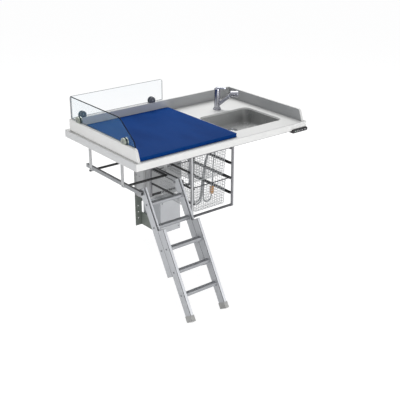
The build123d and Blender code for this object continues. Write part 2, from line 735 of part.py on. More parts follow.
def lift_actuator():
    """Electric actuator: gearbox below the column floor, tube up inside the column."""
    bottom = -OUTER_COLUMN_TOP - OUTER_COLUMN_HEIGHT
    body = upright_rod(
        MIDDLE_X, COLUMN_CENTRE_Y, bottom - GEARBOX_HEIGHT, bottom, GEARBOX_RADIUS)
    body += upright_rod(
        MIDDLE_X, COLUMN_CENTRE_Y, bottom - FIT, bottom + ACTUATOR_HEIGHT, ACTUATOR_RADIUS)
    return body - upright_rod(
        MIDDLE_X, COLUMN_CENTRE_Y, bottom, bottom + ACTUATOR_HEIGHT + OVERRUN,
        LIFT_ROD_RADIUS + FIT)


def lift_housing():
    """Sheet cover round the upper part of the lift, open at the top and towards the wall."""
    half = HOUSING_LENGTH / 2
    hole = COVER_LENGTH / 2 - SHEET
    bottom = HOUSING_FOOT + SHEET
    back = WALL_Y - FLANGE_THICKNESS
    shell = block(
        MIDDLE_X - half, MIDDLE_X + half, HOUSING_FRONT_Y, back, HOUSING_FOOT, -OUTER_COLUMN_TOP)
    shell -= block(
        MIDDLE_X - half + SHEET, MIDDLE_X + half - SHEET, HOUSING_FRONT_Y + SHEET, back + OVERRUN,
        bottom, -OUTER_COLUMN_TOP + OVERRUN)
    return shell - block(
        MIDDLE_X - hole, MIDDLE_X + hole, HOUSING_FRONT_Y + SHEET, back + OVERRUN,
        HOUSING_FOOT - OVERRUN, bottom + OVERRUN)


def lift_cover():
    """Folded cover over the foot of the column, standing forward of the housing."""
    half = COVER_LENGTH / 2
    back = WALL_Y - FLANGE_THICKNESS
    shell = block(
        MIDDLE_X - half, MIDDLE_X + half, COVER_FRONT_Y, back, -COVER_BOTTOM, HOUSING_FOOT)
    shell -= block(
        MIDDLE_X - half + SHEET, MIDDLE_X + half - SHEET, COVER_FRONT_Y + SHEET, back + OVERRUN,
        -COVER_BOTTOM + SHEET, HOUSING_FOOT - SHEET)
    return shell - block(
        MIDDLE_X - half + SHEET, MIDDLE_X + half - SHEET, HOUSING_FRONT_Y + SHEET, back + OVERRUN,
        HOUSING_FOOT - SHEET - OVERRUN, HOUSING_FOOT + OVERRUN)


# Wall frame

def wall_upright():
    """Left flange plate against the wall, with the gusset that holds the lower cover."""
    x0 = MIDDLE_X - HOUSING_LENGTH / 2
    x1 = x0 + FLANGE_WIDTH
    plate = block(x0, x1, WALL_Y - FLANGE_THICKNESS, WALL_Y, -FLANGE_BOTTOM, -FLANGE_TOP)
    centre_z = MOUNT_ABOVE_FLOOR - RIM_ABOVE_FLOOR
    bolt_x = MIDDLE_X - BOLT_SPREAD
    for rise in BOLT_RISES:
        for z in (centre_z - rise, centre_z + rise):
            plate -= rod(
                (bolt_x, WALL_Y - FLANGE_THICKNESS - OVERRUN, z), (bolt_x, WALL_Y + OVERRUN, z),
                BOLT_RADIUS)
    plate += block(
        x1 - GUSSET_THICKNESS, x1, GUSSET_FRONT_Y, WALL_Y, -FLANGE_BOTTOM,
        -FLANGE_BOTTOM + GUSSET_HEIGHT)
    cover_x = MIDDLE_X - COVER_LENGTH / 2
    return plate + block(
        x1 - GUSSET_THICKNESS, cover_x, GUSSET_FRONT_Y, GUSSET_FRONT_Y + GUSSET_THICKNESS,
        -FLANGE_BOTTOM, -FLANGE_BOTTOM + GUSSET_HEIGHT)


def wall_frame():
    """Two wall uprights tied by cross plates, with two bars that hold the outer column."""
    left = wall_upright()
    frame = left + mirror_x(left, MIDDLE_X)
    half = HOUSING_LENGTH / 2
    column_back = COLUMN_CENTRE_Y + COLUMN_DEPTH / 2 + COLUMN_CLEARANCE + OUTER_COLUMN_WALL
    for drop in (BRACKET_UPPER, BRACKET_LOWER):
        frame += block(
            MIDDLE_X - half, MIDDLE_X + half, WALL_Y - FLANGE_THICKNESS, WALL_Y,
            -drop - TIE_HEIGHT / 2, -drop + TIE_HEIGHT / 2)
        frame += block(
            MIDDLE_X - BRACKET_SPAN / 2, MIDDLE_X + BRACKET_SPAN / 2, column_back, WALL_Y,
            -drop - BRACKET_BAR / 2, -drop + BRACKET_BAR / 2)
    return frame


# Ladder rails, hangers and carriage

def ladder_rail():
    """Left rail: a channel open towards the ladder."""
    x1 = RAIL_LEFT_X + RAIL_WIDTH
    y1 = RAIL_FRONT_Y + RAIL_LENGTH
    z0 = -RAIL_DROP - RAIL_HEIGHT
    rail = block(RAIL_LEFT_X, x1, RAIL_FRONT_Y, y1, z0, -RAIL_DROP)
    return rail - block(
        RAIL_LEFT_X + RAIL_WALL, x1 + OVERRUN, RAIL_FRONT_Y - OVERRUN, y1 + OVERRUN,
        z0 + RAIL_WALL, -RAIL_DROP - RAIL_WALL)


def rail_hanger(y):
    """Left strap hanger: top flange, drop strap, foot under the rail and its bolt head."""
    y0 = y - HANGER_WIDTH / 2
    y1 = y + HANGER_WIDTH / 2
    x0 = RAIL_LEFT_X - HANGER_THICKNESS
    x1 = RAIL_LEFT_X + RAIL_WIDTH
    rail_foot = -RAIL_DROP - RAIL_HEIGHT
    strap = block(x0, RAIL_LEFT_X, y0, y1, rail_foot - HANGER_THICKNESS, FRAME_UNDER)
    strap += block(x0, x1, y0, y1, FRAME_UNDER - HANGER_THICKNESS, FRAME_UNDER)
    strap += block(x0, x1, y0, y1, rail_foot - HANGER_THICKNESS, rail_foot)
    foot = rail_foot - HANGER_THICKNESS
    return strap + upright_rod(
        (RAIL_LEFT_X + x1) / 2, y, foot - HANGER_BOLT_HEIGHT, foot, HANGER_BOLT_RADIUS)


def rail_spreader_bar():
    """Black round bar under the rear hangers that keeps the rails apart."""
    z = -RAIL_DROP - RAIL_HEIGHT - HANGER_THICKNESS - SPREADER_RADIUS
    x0 = RAIL_LEFT_X - HANGER_THICKNESS
    y = HANGER_REAR_Y + HANGER_BOLT_RADIUS + SPREADER_RADIUS + FIT
    return rod((x0, y, z), (2 * LADDER_MIDDLE - x0, y, z), SPREADER_RADIUS)


def carriage_arm():
    """Left sliding arm in the rail, with the hinge pin for the ladder."""
    x0 = RAIL_LEFT_X + RAIL_WALL + CARRIAGE_CLEARANCE
    x1 = RAIL_LEFT_X + RAIL_WIDTH - CARRIAGE_CLEARANCE
    half = RAIL_HEIGHT / 2 - RAIL_WALL - CARRIAGE_CLEARANCE
    arm = block(
        x0, x1, CARRIAGE_FRONT_Y, CARRIAGE_FRONT_Y + CARRIAGE_LENGTH,
        RAIL_MIDDLE_Z - half, RAIL_MIDDLE_Z + half)
    arm += rod(
        (x1 - OVERRUN, HINGE_Y, RAIL_MIDDLE_Z), (LADDER_LEFT - FIT, HINGE_Y, RAIL_MIDDLE_Z),
        HINGE_BUSH_RADIUS)
    return arm + rod(
        (x1 - OVERRUN, HINGE_Y, RAIL_MIDDLE_Z),
        (LADDER_LEFT + STILE_THICKNESS + HINGE_PIN_PROUD, HINGE_Y, RAIL_MIDDLE_Z),
        HINGE_PIN_RADIUS)


def carriage_bar():
    """Black round bar that joins the two arms."""
    x0 = RAIL_LEFT_X + RAIL_WIDTH - CARRIAGE_CLEARANCE
    return rod(
        (x0, CARRIAGE_BAR_Y, RAIL_MIDDLE_Z), (2 * LADDER_MIDDLE - x0, CARRIAGE_BAR_Y, RAIL_MIDDLE_Z),
        CARRIAGE_BAR_RADIUS)


# Ladder, drawn hanging straight down from its hinge at the origin and then leaned forward

def section_middle(front):
    """Middle of a stile in the ladder's own depth direction."""
    return STILE_REAR - STILE_DEPTH / 2 - (STILE_DEPTH + SECTION_GAP if front else 0)


def rung_heights(front):
    """Distances of the rungs below the hinge, along the ladder."""
    if front:
        first = RUNG_START + (UPPER_RUNGS - 1) * RUNG_PITCH
        return [first + index * RUNG_PITCH for index in range(LOWER_RUNGS)]
    return [RUNG_START + index * RUNG_PITCH for index in range(UPPER_RUNGS)]


def stile_tube(front, start, length):
    """Left stile of one section: a rectangular tube with its rung holes."""
    middle = section_middle(front)
    half = STILE_DEPTH / 2
    x0 = LADDER_LEFT
    x1 = LADDER_LEFT + STILE_THICKNESS
    tube = block(x0, x1, middle - half, middle + half, -start - length, -start)
    tube = fillet(tube.edges().filter_by(Axis.Z), STILE_WALL)
    tube -= block(
        x0 + STILE_WALL, x1 - STILE_WALL, middle - half + STILE_WALL, middle + half - STILE_WALL,
        -start - length - OVERRUN, -start + OVERRUN)
    for drop in rung_heights(front):
        tube -= rod(
            (x0 - OVERRUN, middle, -drop), (x1 + OVERRUN, middle, -drop),
            STUD_RADIUS + RUNNING_FIT)
    return tube


def upper_stile():
    """Left stile of the hinged upper section, slotted for the lower section's sliders."""
    stile = stile_tube(False, -STILE_TOP, UPPER_LENGTH)
    stile -= rod(
        (LADDER_LEFT - OVERRUN, 0, 0), (LADDER_LEFT + STILE_THICKNESS + OVERRUN, 0, 0),
        HINGE_PIN_RADIUS + RUNNING_FIT)
    x = LADDER_LEFT + SLIDER_FROM_EDGE
    front = STILE_REAR - STILE_DEPTH
    return stile - block(
        x - SLIDER_SLOT / 2, x + SLIDER_SLOT / 2, front - OVERRUN, front + STILE_WALL + FIT,
        STILE_TOP - UPPER_LENGTH - OVERRUN, STILE_TOP + OVERRUN)


def slider(drop):
    """T-shaped slider on the back of a lower stile, running in the upper stile's slot."""
    x = LADDER_LEFT + SLIDER_FROM_EDGE
    lower_back = STILE_REAR - STILE_DEPTH - SECTION_GAP
    head_front = STILE_REAR - STILE_DEPTH + STILE_WALL + FIT
    neck = block(
        x - SLIDER_NECK / 2, x + SLIDER_NECK / 2, lower_back, head_front + FIT,
        -drop - SLIDER_LENGTH, -drop)
    return neck + block(
        x - SLIDER_HEAD / 2, x + SLIDER_HEAD / 2, head_front, head_front + SLIDER_HEAD_THICKNESS,
        -drop - SLIDER_LENGTH, -drop)


def lower_stile():
    """Left stile of the sliding lower section with two sliders on its back."""
    stile = stile_tube(True, LOWER_START, LOWER_LENGTH)
    overlap_end = UPPER_LENGTH - STILE_TOP
    stile += slider(LOWER_START + SLIDER_INSET)
    return stile + slider(overlap_end - SLIDER_LENGTH - SLIDER_INSET)


def tread(middle, drop):
    """Level ribbed tread between the stiles, with the studs that fix it through them."""
    x0 = LADDER_LEFT + STILE_THICKNESS
    x1 = LADDER_RIGHT - STILE_THICKNESS
    bar = Box(x1 - x0, TREAD_DEPTH, TREAD_HEIGHT)
    bar = fillet(bar.edges().filter_by(Axis.X), TREAD_RADIUS)
    pitch = (TREAD_DEPTH - 2 * TREAD_RADIUS) / (TREAD_GROOVES + 1)
    for index in range(TREAD_GROOVES):
        y = (index - (TREAD_GROOVES - 1) / 2) * pitch
        bar -= Location((0, y, TREAD_HEIGHT / 2)) * Box(
            x1 - x0, GROOVE_WIDTH, GROOVE_DEPTH * 2)
    bar = Location((LADDER_MIDDLE, middle, -drop), (RIGHT_ANGLE - LADDER_ANGLE, 0, 0)) * bar
    for outer, inner, step in ((LADDER_LEFT, x0, -1), (LADDER_RIGHT, x1, 1)):
        head = outer + step * STUD_HEAD_HEIGHT
        bar += rod((outer, middle, -drop), (inner - step * OVERRUN, middle, -drop), STUD_RADIUS)
        bar += rod((head, middle, -drop), (outer, middle, -drop), STUD_HEAD_RADIUS)
    return bar


def ladder_foot():
    """Left plastic foot pushed over the end of the lower stile."""
    middle = section_middle(True)
    half = STILE_DEPTH / 2 + FOOT_WALL
    stile_end = LOWER_START + LOWER_LENGTH
    top = -stile_end + FOOT_SOCKET
    foot = block(
        LADDER_LEFT - FOOT_WALL, LADDER_LEFT + STILE_THICKNESS + FOOT_WALL,
        middle - half, middle + half, top - FOOT_LENGTH, top)
    foot = fillet(foot.edges().group_by(Axis.Z)[0], FOOT_WALL)
    reach = STILE_DEPTH / 2
    return foot - block(
        LADDER_LEFT, LADDER_LEFT + STILE_THICKNESS, middle - reach, middle + reach,
        -stile_end, top + OVERRUN)


def write_ladder():
    """Both ladder sections, piece by piece; the right stiles are copies of the left ones."""
    to_right = Location((LADDER_WIDTH - STILE_THICKNESS, 0, 0))
    for name, shape in (
            ("ladder_upper_stile", upper_stile()),
            ("ladder_lower_stile", lower_stile()),
            ("ladder_foot", ladder_foot())):
        write(name + "_left", LADDER_FRAME * shape)
        write(name + "_right", LADDER_FRAME * to_right * shape)
    for section, front in (("upper", False), ("lower", True)):
        for index, drop in enumerate(rung_heights(front), 1):
            name = "ladder_" + section + "_rung_" + str(index)
            write(name, LADDER_FRAME * tread(section_middle(front), drop))


# Basket frame and wire baskets

def runner_top(index):
    """Height of one runner's ledge."""
    return -RUNNER_TOP_DROP - index * RUNNER_PITCH


def basket_frame_side():
    """Left side of the basket frame: two posts and the runners between them."""
    x0 = BAY_LEFT
    x1 = BAY_LEFT + POST
    y0 = BAY_FRONT_Y
    y1 = BAY_FRONT_Y + BAY_DEPTH
    side = block(x0, x1, y0, y0 + POST, -BAY_BOTTOM, DECK_UNDER)
    side += block(x0, x1, y1 - POST, y1, -BAY_BOTTOM, DECK_UNDER)
    for index in range(RUNNERS):
        top = runner_top(index)
        side += block(x1 - RUNNER_THICKNESS, x1, y0, y1, top - RUNNER_LEDGE_THICKNESS,
                      top - RUNNER_LEDGE_THICKNESS + RUNNER_HEIGHT)
        side += block(x1 - RUNNER_THICKNESS, x1 + RUNNER_LEDGE, y0, y1,
                      top - RUNNER_LEDGE_THICKNESS, top)
    return side


def basket_cross_rail(y0):
    """Bar across the bottom of the bay between the two side frames."""
    return block(
        BAY_LEFT + POST, BAY_LEFT + BAY_LENGTH - POST, y0, y0 + CROSS_RAIL,
        -BAY_BOTTOM, -BAY_BOTTOM + CROSS_RAIL)


def basket_plan(width, depth, z):
    """Rounded plan outline of a basket at one height."""
    x = BAY_LEFT + BAY_LENGTH / 2
    y = BASKET_FRONT_Y + BASKET_RIM_DEPTH / 2
    return Plane.XY.offset(z) * Location((x, y)) * RectangleRounded(
        width, depth, BASKET_CORNER_RADIUS)


def basket_form(inset, z_top, z_floor):
    """Tapered basket body between two heights."""
    width = BAY_LENGTH - 2 * (POST + BASKET_SIDE_GAP + BASKET_SHOULDER + inset)
    depth = BASKET_RIM_DEPTH - 2 * (BASKET_RIM + inset)
    top = basket_plan(width, depth, z_top)
    floor = basket_plan(width - 2 * BASKET_DRAW, depth - 2 * BASKET_DRAW, z_floor)
    return loft([top, floor])


def basket(ledge):
    """Basket with a rim that rests on the runner ledges; its mesh is a thin wall here."""
    width = BAY_LENGTH - 2 * (POST + BASKET_SIDE_GAP)
    floor = ledge + BASKET_RIM_HEIGHT - BASKET_HEIGHT
    rim = extrude(basket_plan(width, BASKET_RIM_DEPTH, ledge), BASKET_RIM_HEIGHT)
    rim_top = ledge + BASKET_RIM_HEIGHT
    body = basket_form(0, rim_top, floor)
    return rim + body - basket_form(BASKET_WALL, rim_top + FIT, floor + BASKET_WALL)


# Tap

def turned(angle, rise, length):
    """Vector from the tap's axis: turned from the front towards the right, and raised."""
    flat = length * cos(radians(rise))
    return Vector(
        flat * sin(radians(angle)), -flat * cos(radians(angle)), length * sin(radians(rise)))


def tap_base():
    """Deck flange, threaded shank and clamping nut, with three hose spouts below."""
    shank_foot = DECK_TOP - TAP_SHANK_LENGTH
    base = upright_rod(TAP_X, TAP_Y, DECK_TOP, DECK_TOP + TAP_FLANGE_HEIGHT, TAP_FLANGE_RADIUS)
    base = fillet(base.edges().group_by(Axis.Z)[-1], TAP_FLANGE_HEIGHT / 3)
    base += upright_rod(TAP_X, TAP_Y, DECK_TOP, DECK_TOP + TAP_BASE_HEIGHT, TAP_BASE_RADIUS)
    base += upright_rod(
        TAP_X, TAP_Y, DECK_TOP, DECK_TOP + TAP_BASE_HEIGHT + TAP_SPIGOT_HEIGHT, TAP_SPIGOT_RADIUS)
    base += upright_rod(TAP_X, TAP_Y, shank_foot, DECK_TOP, TAP_SHANK_RADIUS)
    base += upright_rod(TAP_X, TAP_Y, DECK_UNDER - TAP_NUT_HEIGHT, DECK_UNDER, TAP_NUT_RADIUS)
    spout_ends = [SPRAY_HOSE_ROUTE[-1]] + [route[0] for route in HOSE_ROUTES.values()]
    for x, y, z in spout_ends:
        base += upright_rod(x, y, z, shank_foot + OVERRUN, SHANK_SPOUT_RADIUS)
    return base


def tap_body():
    """Swivelling tap column with its raised spout tube."""
    foot = DECK_TOP + TAP_BASE_HEIGHT + FIT
    body = upright_rod(TAP_X, TAP_Y, foot, foot + TAP_BODY_HEIGHT, TAP_RADIUS)
    start = Vector(TAP_X, TAP_Y, DECK_TOP + TAP_BASE_HEIGHT + SPOUT_START)
    tip = start + turned(SPOUT_TURN, SPOUT_RISE, SPOUT_LENGTH)
    inner = start + turned(SPOUT_TURN, SPOUT_RISE, TAP_RADIUS)
    body += rod(tuple(start), tuple(tip), SPOUT_RADIUS)
    over = tip + turned(SPOUT_TURN, SPOUT_RISE, OVERRUN)
    body -= rod(tuple(inner), tuple(over), SPOUT_BORE_RADIUS)
    body -= upright_rod(
        TAP_X, TAP_Y, foot - OVERRUN, foot + TAP_SPIGOT_HEIGHT, TAP_SPIGOT_RADIUS + RUNNING_FIT)
    top = foot + TAP_BODY_HEIGHT
    return body - upright_rod(
        TAP_X, TAP_Y, top - CAP_SPIGOT_HEIGHT - FIT, top + OVERRUN, CAP_SPIGOT_RADIUS + RUNNING_FIT)


def spray_head():
    """Pull-out spray head tipped forward on its collar, with the hose stub in the spout."""
    start = Vector(TAP_X, TAP_Y, DECK_TOP + TAP_BASE_HEIGHT + SPOUT_START)
    mouth = SPOUT_LENGTH + FIT
    direction = turned(SPOUT_TURN, SPOUT_RISE, 1)
    seat = start + direction * mouth
    neck = start + direction * (mouth + SPRAY_COLLAR_LENGTH + SPRAY_NECK)
    tail = start + direction * (mouth - SPRAY_HOSE_LENGTH)
    tipped = turned(SPOUT_TURN, SPRAY_RISE, 1)
    back = neck - tipped * SPRAY_BACK
    end = neck + tipped * (SPRAY_LENGTH - SPRAY_BACK)
    head = rod(tuple(back), tuple(end), SPRAY_RADIUS)
    head = fillet(head.edges().filter_by(GeomType.CIRCLE), SPRAY_EDGE_RADIUS)
    head += rod(tuple(seat), tuple(neck), SPRAY_COLLAR_RADIUS)
    return head + rod(tuple(tail), tuple(neck), SPRAY_HOSE_RADIUS)


def lever_place():
    """Frame on top of the cap, its x axis along the lever."""
    top = DECK_TOP + TAP_BASE_HEIGHT + FIT + TAP_BODY_HEIGHT + FIT + CAP_HEIGHT
    return Location((TAP_X, TAP_Y, top), (0, 0, LEVER_TURN - RIGHT_ANGLE))


def tap_cap():
    """Cap on the cartridge, turned for temperature, with a fork for the lever."""
    foot = DECK_TOP + TAP_BASE_HEIGHT + FIT + TAP_BODY_HEIGHT + FIT
    cap = upright_rod(TAP_X, TAP_Y, foot, foot + CAP_HEIGHT, TAP_RADIUS)
    cap = fillet(cap.edges().group_by(Axis.Z)[-1], CAP_EDGE_RADIUS)
    cap += upright_rod(TAP_X, TAP_Y, foot - CAP_SPIGOT_HEIGHT, foot, CAP_SPIGOT_RADIUS)
    half = LEVER_EAR / 2 + LEVER_GAP
    reach = TAP_RADIUS + OVERRUN
    slot = block(-reach, reach, -half, half, -LEVER_SLOT_DEPTH, OVERRUN)
    return cap - lever_place() * slot


def tap_lever():
    """Flat lever above the cap with an ear that pivots in the fork behind the tap's axis."""
    half = LEVER_WIDTH / 2
    ear = LEVER_EAR / 2
    pivot_z = -LEVER_SLOT_DEPTH / 2
    top = LEVER_GAP + LEVER_THICKNESS
    blade = block(LEVER_START - LEVER_PIVOT, LEVER_REACH, -half, half, LEVER_GAP, top)
    blade = fillet(blade.edges().filter_by(Axis.Z).group_by(Axis.X)[-1], half - FIT)
    blade = fillet(blade.edges().group_by(Axis.Z)[-1], LEVER_THICKNESS / 3)
    tongue = block(-LEVER_PIVOT, ear, -ear, ear, pivot_z, LEVER_GAP)
    tongue += rod((-LEVER_PIVOT, -ear, pivot_z), (-LEVER_PIVOT, ear, pivot_z), ear)
    tongue -= block(
        -LEVER_PIVOT - ear, LEVER_START - LEVER_PIVOT, -ear, ear, LEVER_GAP - FIT, top)
    return lever_place() * (blade + tongue)


# Hoses, the weight on the spray hose and the connector

def hose_path(points):
    """Straight runs joined by tangent arcs, each as large as its two runs allow."""
    corners = [Vector(*point) for point in points]
    runs = [b - a for a, b in zip(corners, corners[1:])]
    radii = []
    for before, after in zip(runs, runs[1:]):
        half_turn = radians(before.get_angle(after)) / 2
        radii.append(BEND_SHARE * min(before.length, after.length) / tan(half_turn))
    return FilletPolyline(*corners, radius=radii), radii


def hose(name, points):
    """Round hose along its route; prints its bends and its volume against its length."""
    path, radii = hose_path(points)
    start = Plane(origin=points[0], z_dir=path % 0)
    tube = sweep(start * Circle(HOSE_RADIUS), path)
    expected = path.length * Circle(HOSE_RADIUS).area
    print(name, "bends", [round(radius) for radius in radii])
    print(name, "length", round(path.length), "volume ratio", round(tube.volume / expected, 4))
    return tube


def hose_weight():
    """Brass weight clamped round the straight stretch of the spray hose."""
    top, foot = [Vector(*point) for point in WEIGHTED_STRETCH]
    run = foot - top
    middle = top + run * WEIGHT_STRETCH_SHARE
    half = run.normalized() * (WEIGHT_LENGTH / 2)
    weight = rod(tuple(middle - half), tuple(middle + half), WEIGHT_RADIUS)
    weight = fillet(weight.edges().filter_by(GeomType.CIRCLE), WEIGHT_EDGE_RADIUS)
    return weight - rod(tuple(middle - half * 2), tuple(middle + half * 2), HOSE_RADIUS + FIT)


def hose_connector():
    """Valve block under the deck that the two supply hoses return to."""
    body = block(
        CONNECTOR_LEFT, CONNECTOR_LEFT + CONNECTOR_LENGTH,
        CONNECTOR_FRONT_Y, CONNECTOR_FRONT_Y + CONNECTOR_DEPTH,
        DECK_UNDER - CONNECTOR_HEIGHT, DECK_UNDER)
    body = fillet(body.edges().filter_by(Axis.Z), CONNECTOR_SPOUT_RADIUS / 2)
    for route in (HOT_HOSE_ROUTE, COLD_HOSE_ROUTE):
        x, y, z = route[-1]
        body += upright_rod(x, y, z, DECK_UNDER - CONNECTOR_HEIGHT, CONNECTOR_SPOUT_RADIUS)
    return body


# Control panel

def button_middles():
    """Middle of each lift button along the panel."""
    return [PANEL_RIGHT - inset for inset in BUTTONS_FROM_RIGHT]


def button_block(x, grow, y0, y1):
    """Button form on the panel's front, larger by grow all round."""
    half_x = BUTTON_LENGTH / 2 + grow
    half_z = BUTTON_HEIGHT / 2 + grow
    form = block(
        x - half_x, x + half_x, y0, y1, PANEL_MIDDLE_Z - half_z, PANEL_MIDDLE_Z + half_z)
    return fillet(form.edges().filter_by(Axis.Y), BUTTON_RADIUS + grow)


def handset_case():
    """Panel case: a rounded front that laps the rim, with its body below, and button pockets."""
    x0 = PANEL_LEFT
    x1 = PANEL_RIGHT
    y0 = -PANEL_PROUD
    case = block(x0, x1, y0, 0, PANEL_LAP - PANEL_HEIGHT, PANEL_LAP)
    case = fillet(case.edges().filter_by(Axis.Y), PANEL_END_RADIUS)
    case = chamfer(case.faces().sort_by(Axis.Y)[0].edges(), PANEL_EDGE_CHAMFER)
    case += block(
        x0 + PANEL_END_RADIUS, x1 - PANEL_END_RADIUS, y0 + PANEL_EDGE_CHAMFER, y0 + PANEL_DEPTH,
        PANEL_LAP - PANEL_HEIGHT, 0)
    pocket_end = y0 + BUTTON_TRAVEL + BUTTON_SINK + BUTTON_GAP
    for x in button_middles():
        case -= button_block(x, BUTTON_GAP, y0 - OVERRUN, pocket_end)
    lamp_x = x0 + LAMP_FROM_LEFT
    return case - block(
        lamp_x - LAMP_LENGTH / 2, lamp_x + LAMP_LENGTH / 2, y0 - OVERRUN, y0 + LAMP_DEPTH,
        PANEL_MIDDLE_Z - LAMP_HEIGHT / 2, PANEL_MIDDLE_Z + LAMP_HEIGHT / 2)


def lift_button(x):
    """Push button standing out of the panel's front."""
    y0 = -PANEL_PROUD
    return button_block(x, 0, y0 - BUTTON_PROUD, y0 + BUTTON_SINK)


def write_table_top():
    """Worktop, tub, drain, mattress, glass and the frame that carries them."""
    write("worktop", worktop())
    write("bath_tub", bath_tub())
    write("drain_fitting", drain_fitting())
    write("drain_plug", drain_plug())
    write("drain_trap", drain_trap())
    write("mattress", mattress())
    write("glass_screen_rear", glass_screen_rear())
    write("glass_screen_side", glass_screen_side())
    write_clamps()
    write("table_frame", table_frame())


def write_lift():
    """Lift columns, actuator, covers and the frame on the wall."""
    write("lift_inner_column", lift_inner_column())
    write("lift_outer_column", lift_outer_column())
    write("lift_actuator", lift_actuator())
    write("lift_housing", lift_housing())
    write("column_cover", lift_cover())
    write("wall_frame", wall_frame())


def write_rails():
    """Ladder rails with their hangers, and the carriage that runs in them."""
    for name, shape in (
            ("ladder_rail", ladder_rail()),
            ("rail_hanger_front", rail_hanger(HANGER_FRONT_Y)),
            ("rail_hanger_rear", rail_hanger(HANGER_REAR_Y)),
            ("ladder_carriage_arm", carriage_arm())):
        write(name + "_left", shape)
        write(name + "_right", mirror_x(shape, LADDER_MIDDLE))
    write("rail_spreader_bar", rail_spreader_bar())
    write("ladder_carriage_bar", carriage_bar())


def write_basket_unit():
    """Basket frame and its two baskets."""
    side = basket_frame_side()
    write("basket_frame_left", side)
    write("basket_frame_right", mirror_x(side, BAY_LEFT + BAY_LENGTH / 2))
    write("basket_frame_front_rail", basket_cross_rail(BAY_FRONT_Y))
    write("basket_frame_rear_rail", basket_cross_rail(BAY_FRONT_Y + BAY_DEPTH - CROSS_RAIL))
    for name, index in zip(("upper_basket", "lower_basket"), BASKET_RUNNERS):
        write(name, basket(runner_top(index)))


def write_tap():
    """Tap pieces and everything that hangs below the tap."""
    write("tap_base", tap_base())
    write("tap_body", tap_body())
    write("spray_head", spray_head())
    write("tap_cap", tap_cap())
    write("tap_lever", tap_lever())
    for name, route in HOSE_ROUTES.items():
        write(name, hose(name, route))
    write("hose_weight", hose_weight())
    write("hose_connector", hose_connector())


def write_panel():
    """Control panel and its two buttons."""
    write("handset_case", handset_case())
    for name, x in zip(("handset_button_up", "handset_button_down"), button_middles()):
        write(name, lift_button(x))


def main():
    """Write every piece of the changing table."""
    os.makedirs("parts", exist_ok=True)
    write_table_top()
    write_lift()
    write_rails()
    write_ladder()
    write_basket_unit()
    write_tap()
    write_panel()


main()
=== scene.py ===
"""Visual model of a wall-mounted, height-adjustable nursery changing table with a bath tub.

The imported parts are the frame: rigid parts keep their solids and get finishes, while the mattress,
the wire baskets and the hoses are built here in full and stand for their plain solids. Small
fittings that the solids leave out, such as screws, rims, caps and gaskets, are added on them.
The scene is in metres, in the frame of the wall bolts: x along the wall, y into it, z up. Sizes
of the sub-assemblies are in millimetres, and their places lie in the table's corner frame. The
studio, the finishes and the profiles of turned pieces, which are pairs of distance along the axis
and radius, are in metres.
"""
import json
import logging
import math
import random
from dataclasses import dataclass, field
from enum import Enum
from typing import Iterable, Optional, Sequence, Union

import bmesh
import bpy
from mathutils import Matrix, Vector

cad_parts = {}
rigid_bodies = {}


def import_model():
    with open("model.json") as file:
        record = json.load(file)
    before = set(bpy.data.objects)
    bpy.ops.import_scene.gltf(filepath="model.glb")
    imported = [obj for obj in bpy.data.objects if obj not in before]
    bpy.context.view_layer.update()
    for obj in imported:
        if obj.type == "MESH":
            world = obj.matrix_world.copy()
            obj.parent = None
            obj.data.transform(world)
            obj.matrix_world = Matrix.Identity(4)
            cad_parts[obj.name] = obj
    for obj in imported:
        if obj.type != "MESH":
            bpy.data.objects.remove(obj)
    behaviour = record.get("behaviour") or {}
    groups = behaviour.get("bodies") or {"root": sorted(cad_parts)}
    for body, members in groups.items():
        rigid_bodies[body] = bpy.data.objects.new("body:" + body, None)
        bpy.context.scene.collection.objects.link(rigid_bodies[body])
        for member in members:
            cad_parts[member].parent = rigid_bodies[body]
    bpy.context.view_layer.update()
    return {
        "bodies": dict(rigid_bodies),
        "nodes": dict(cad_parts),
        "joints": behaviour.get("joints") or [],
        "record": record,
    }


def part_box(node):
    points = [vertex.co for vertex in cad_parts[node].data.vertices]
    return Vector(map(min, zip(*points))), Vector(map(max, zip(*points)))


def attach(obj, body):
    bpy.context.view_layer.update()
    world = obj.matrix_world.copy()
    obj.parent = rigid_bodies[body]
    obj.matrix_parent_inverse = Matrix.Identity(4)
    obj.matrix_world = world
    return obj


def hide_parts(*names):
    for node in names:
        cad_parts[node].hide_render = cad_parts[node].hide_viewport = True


LOG = logging.getLogger("changing_table")
MM = 0.001

Point = Sequence[float]
Scalar = Union[float, "Value"]

# The table's corner frame, in which the places below are given in millimetres.
CORNER_X = -700.0
CORNER_Y = -860.0
CORNER_Z = 527.0

UP = Vector((0.0, 0.0, 1.0))
DOWN = Vector((0.0, 0.0, -1.0))
FRONT = Vector((0.0, -1.0, 0.0))
LEFT = Vector((-1.0, 0.0, 0.0))
RIGHT = Vector((1.0, 0.0, 0.0))

# Angles in degrees past which an edge stays sharp: on small turned pieces, on plain pieces and on
# soft or round ones.
CRISP = 30.0
PLAIN = 40.0
SOFT = 60.0

# The ladder's lean from upright, and its hinge in the corner frame.
LEAN = math.radians(30.0)
HINGE_Y = 119.0
HINGE_Z = -185.0


def at(x: float, y: float, z: float) -> Vector:
    """Turns a place in the table's corner frame, in millimetres, into the scene's metres."""
    return Vector(((x + CORNER_X) * MM, (y + CORNER_Y) * MM, (z + CORNER_Z) * MM))


def on_ladder(x: float, depth: float, rise: float) -> Vector:
    """Turns a place on the ladder into the scene's metres.

    Args:
        x: Place along the wall, in the corner frame.
        depth: Distance behind the hinge, square to the stiles.
        rise: Distance up the stiles from the hinge.

    Returns:
        The place.
    """
    return at(
        x, HINGE_Y + depth * math.cos(LEAN) + rise * math.sin(LEAN),
        HINGE_Z - depth * math.sin(LEAN) + rise * math.cos(LEAN))


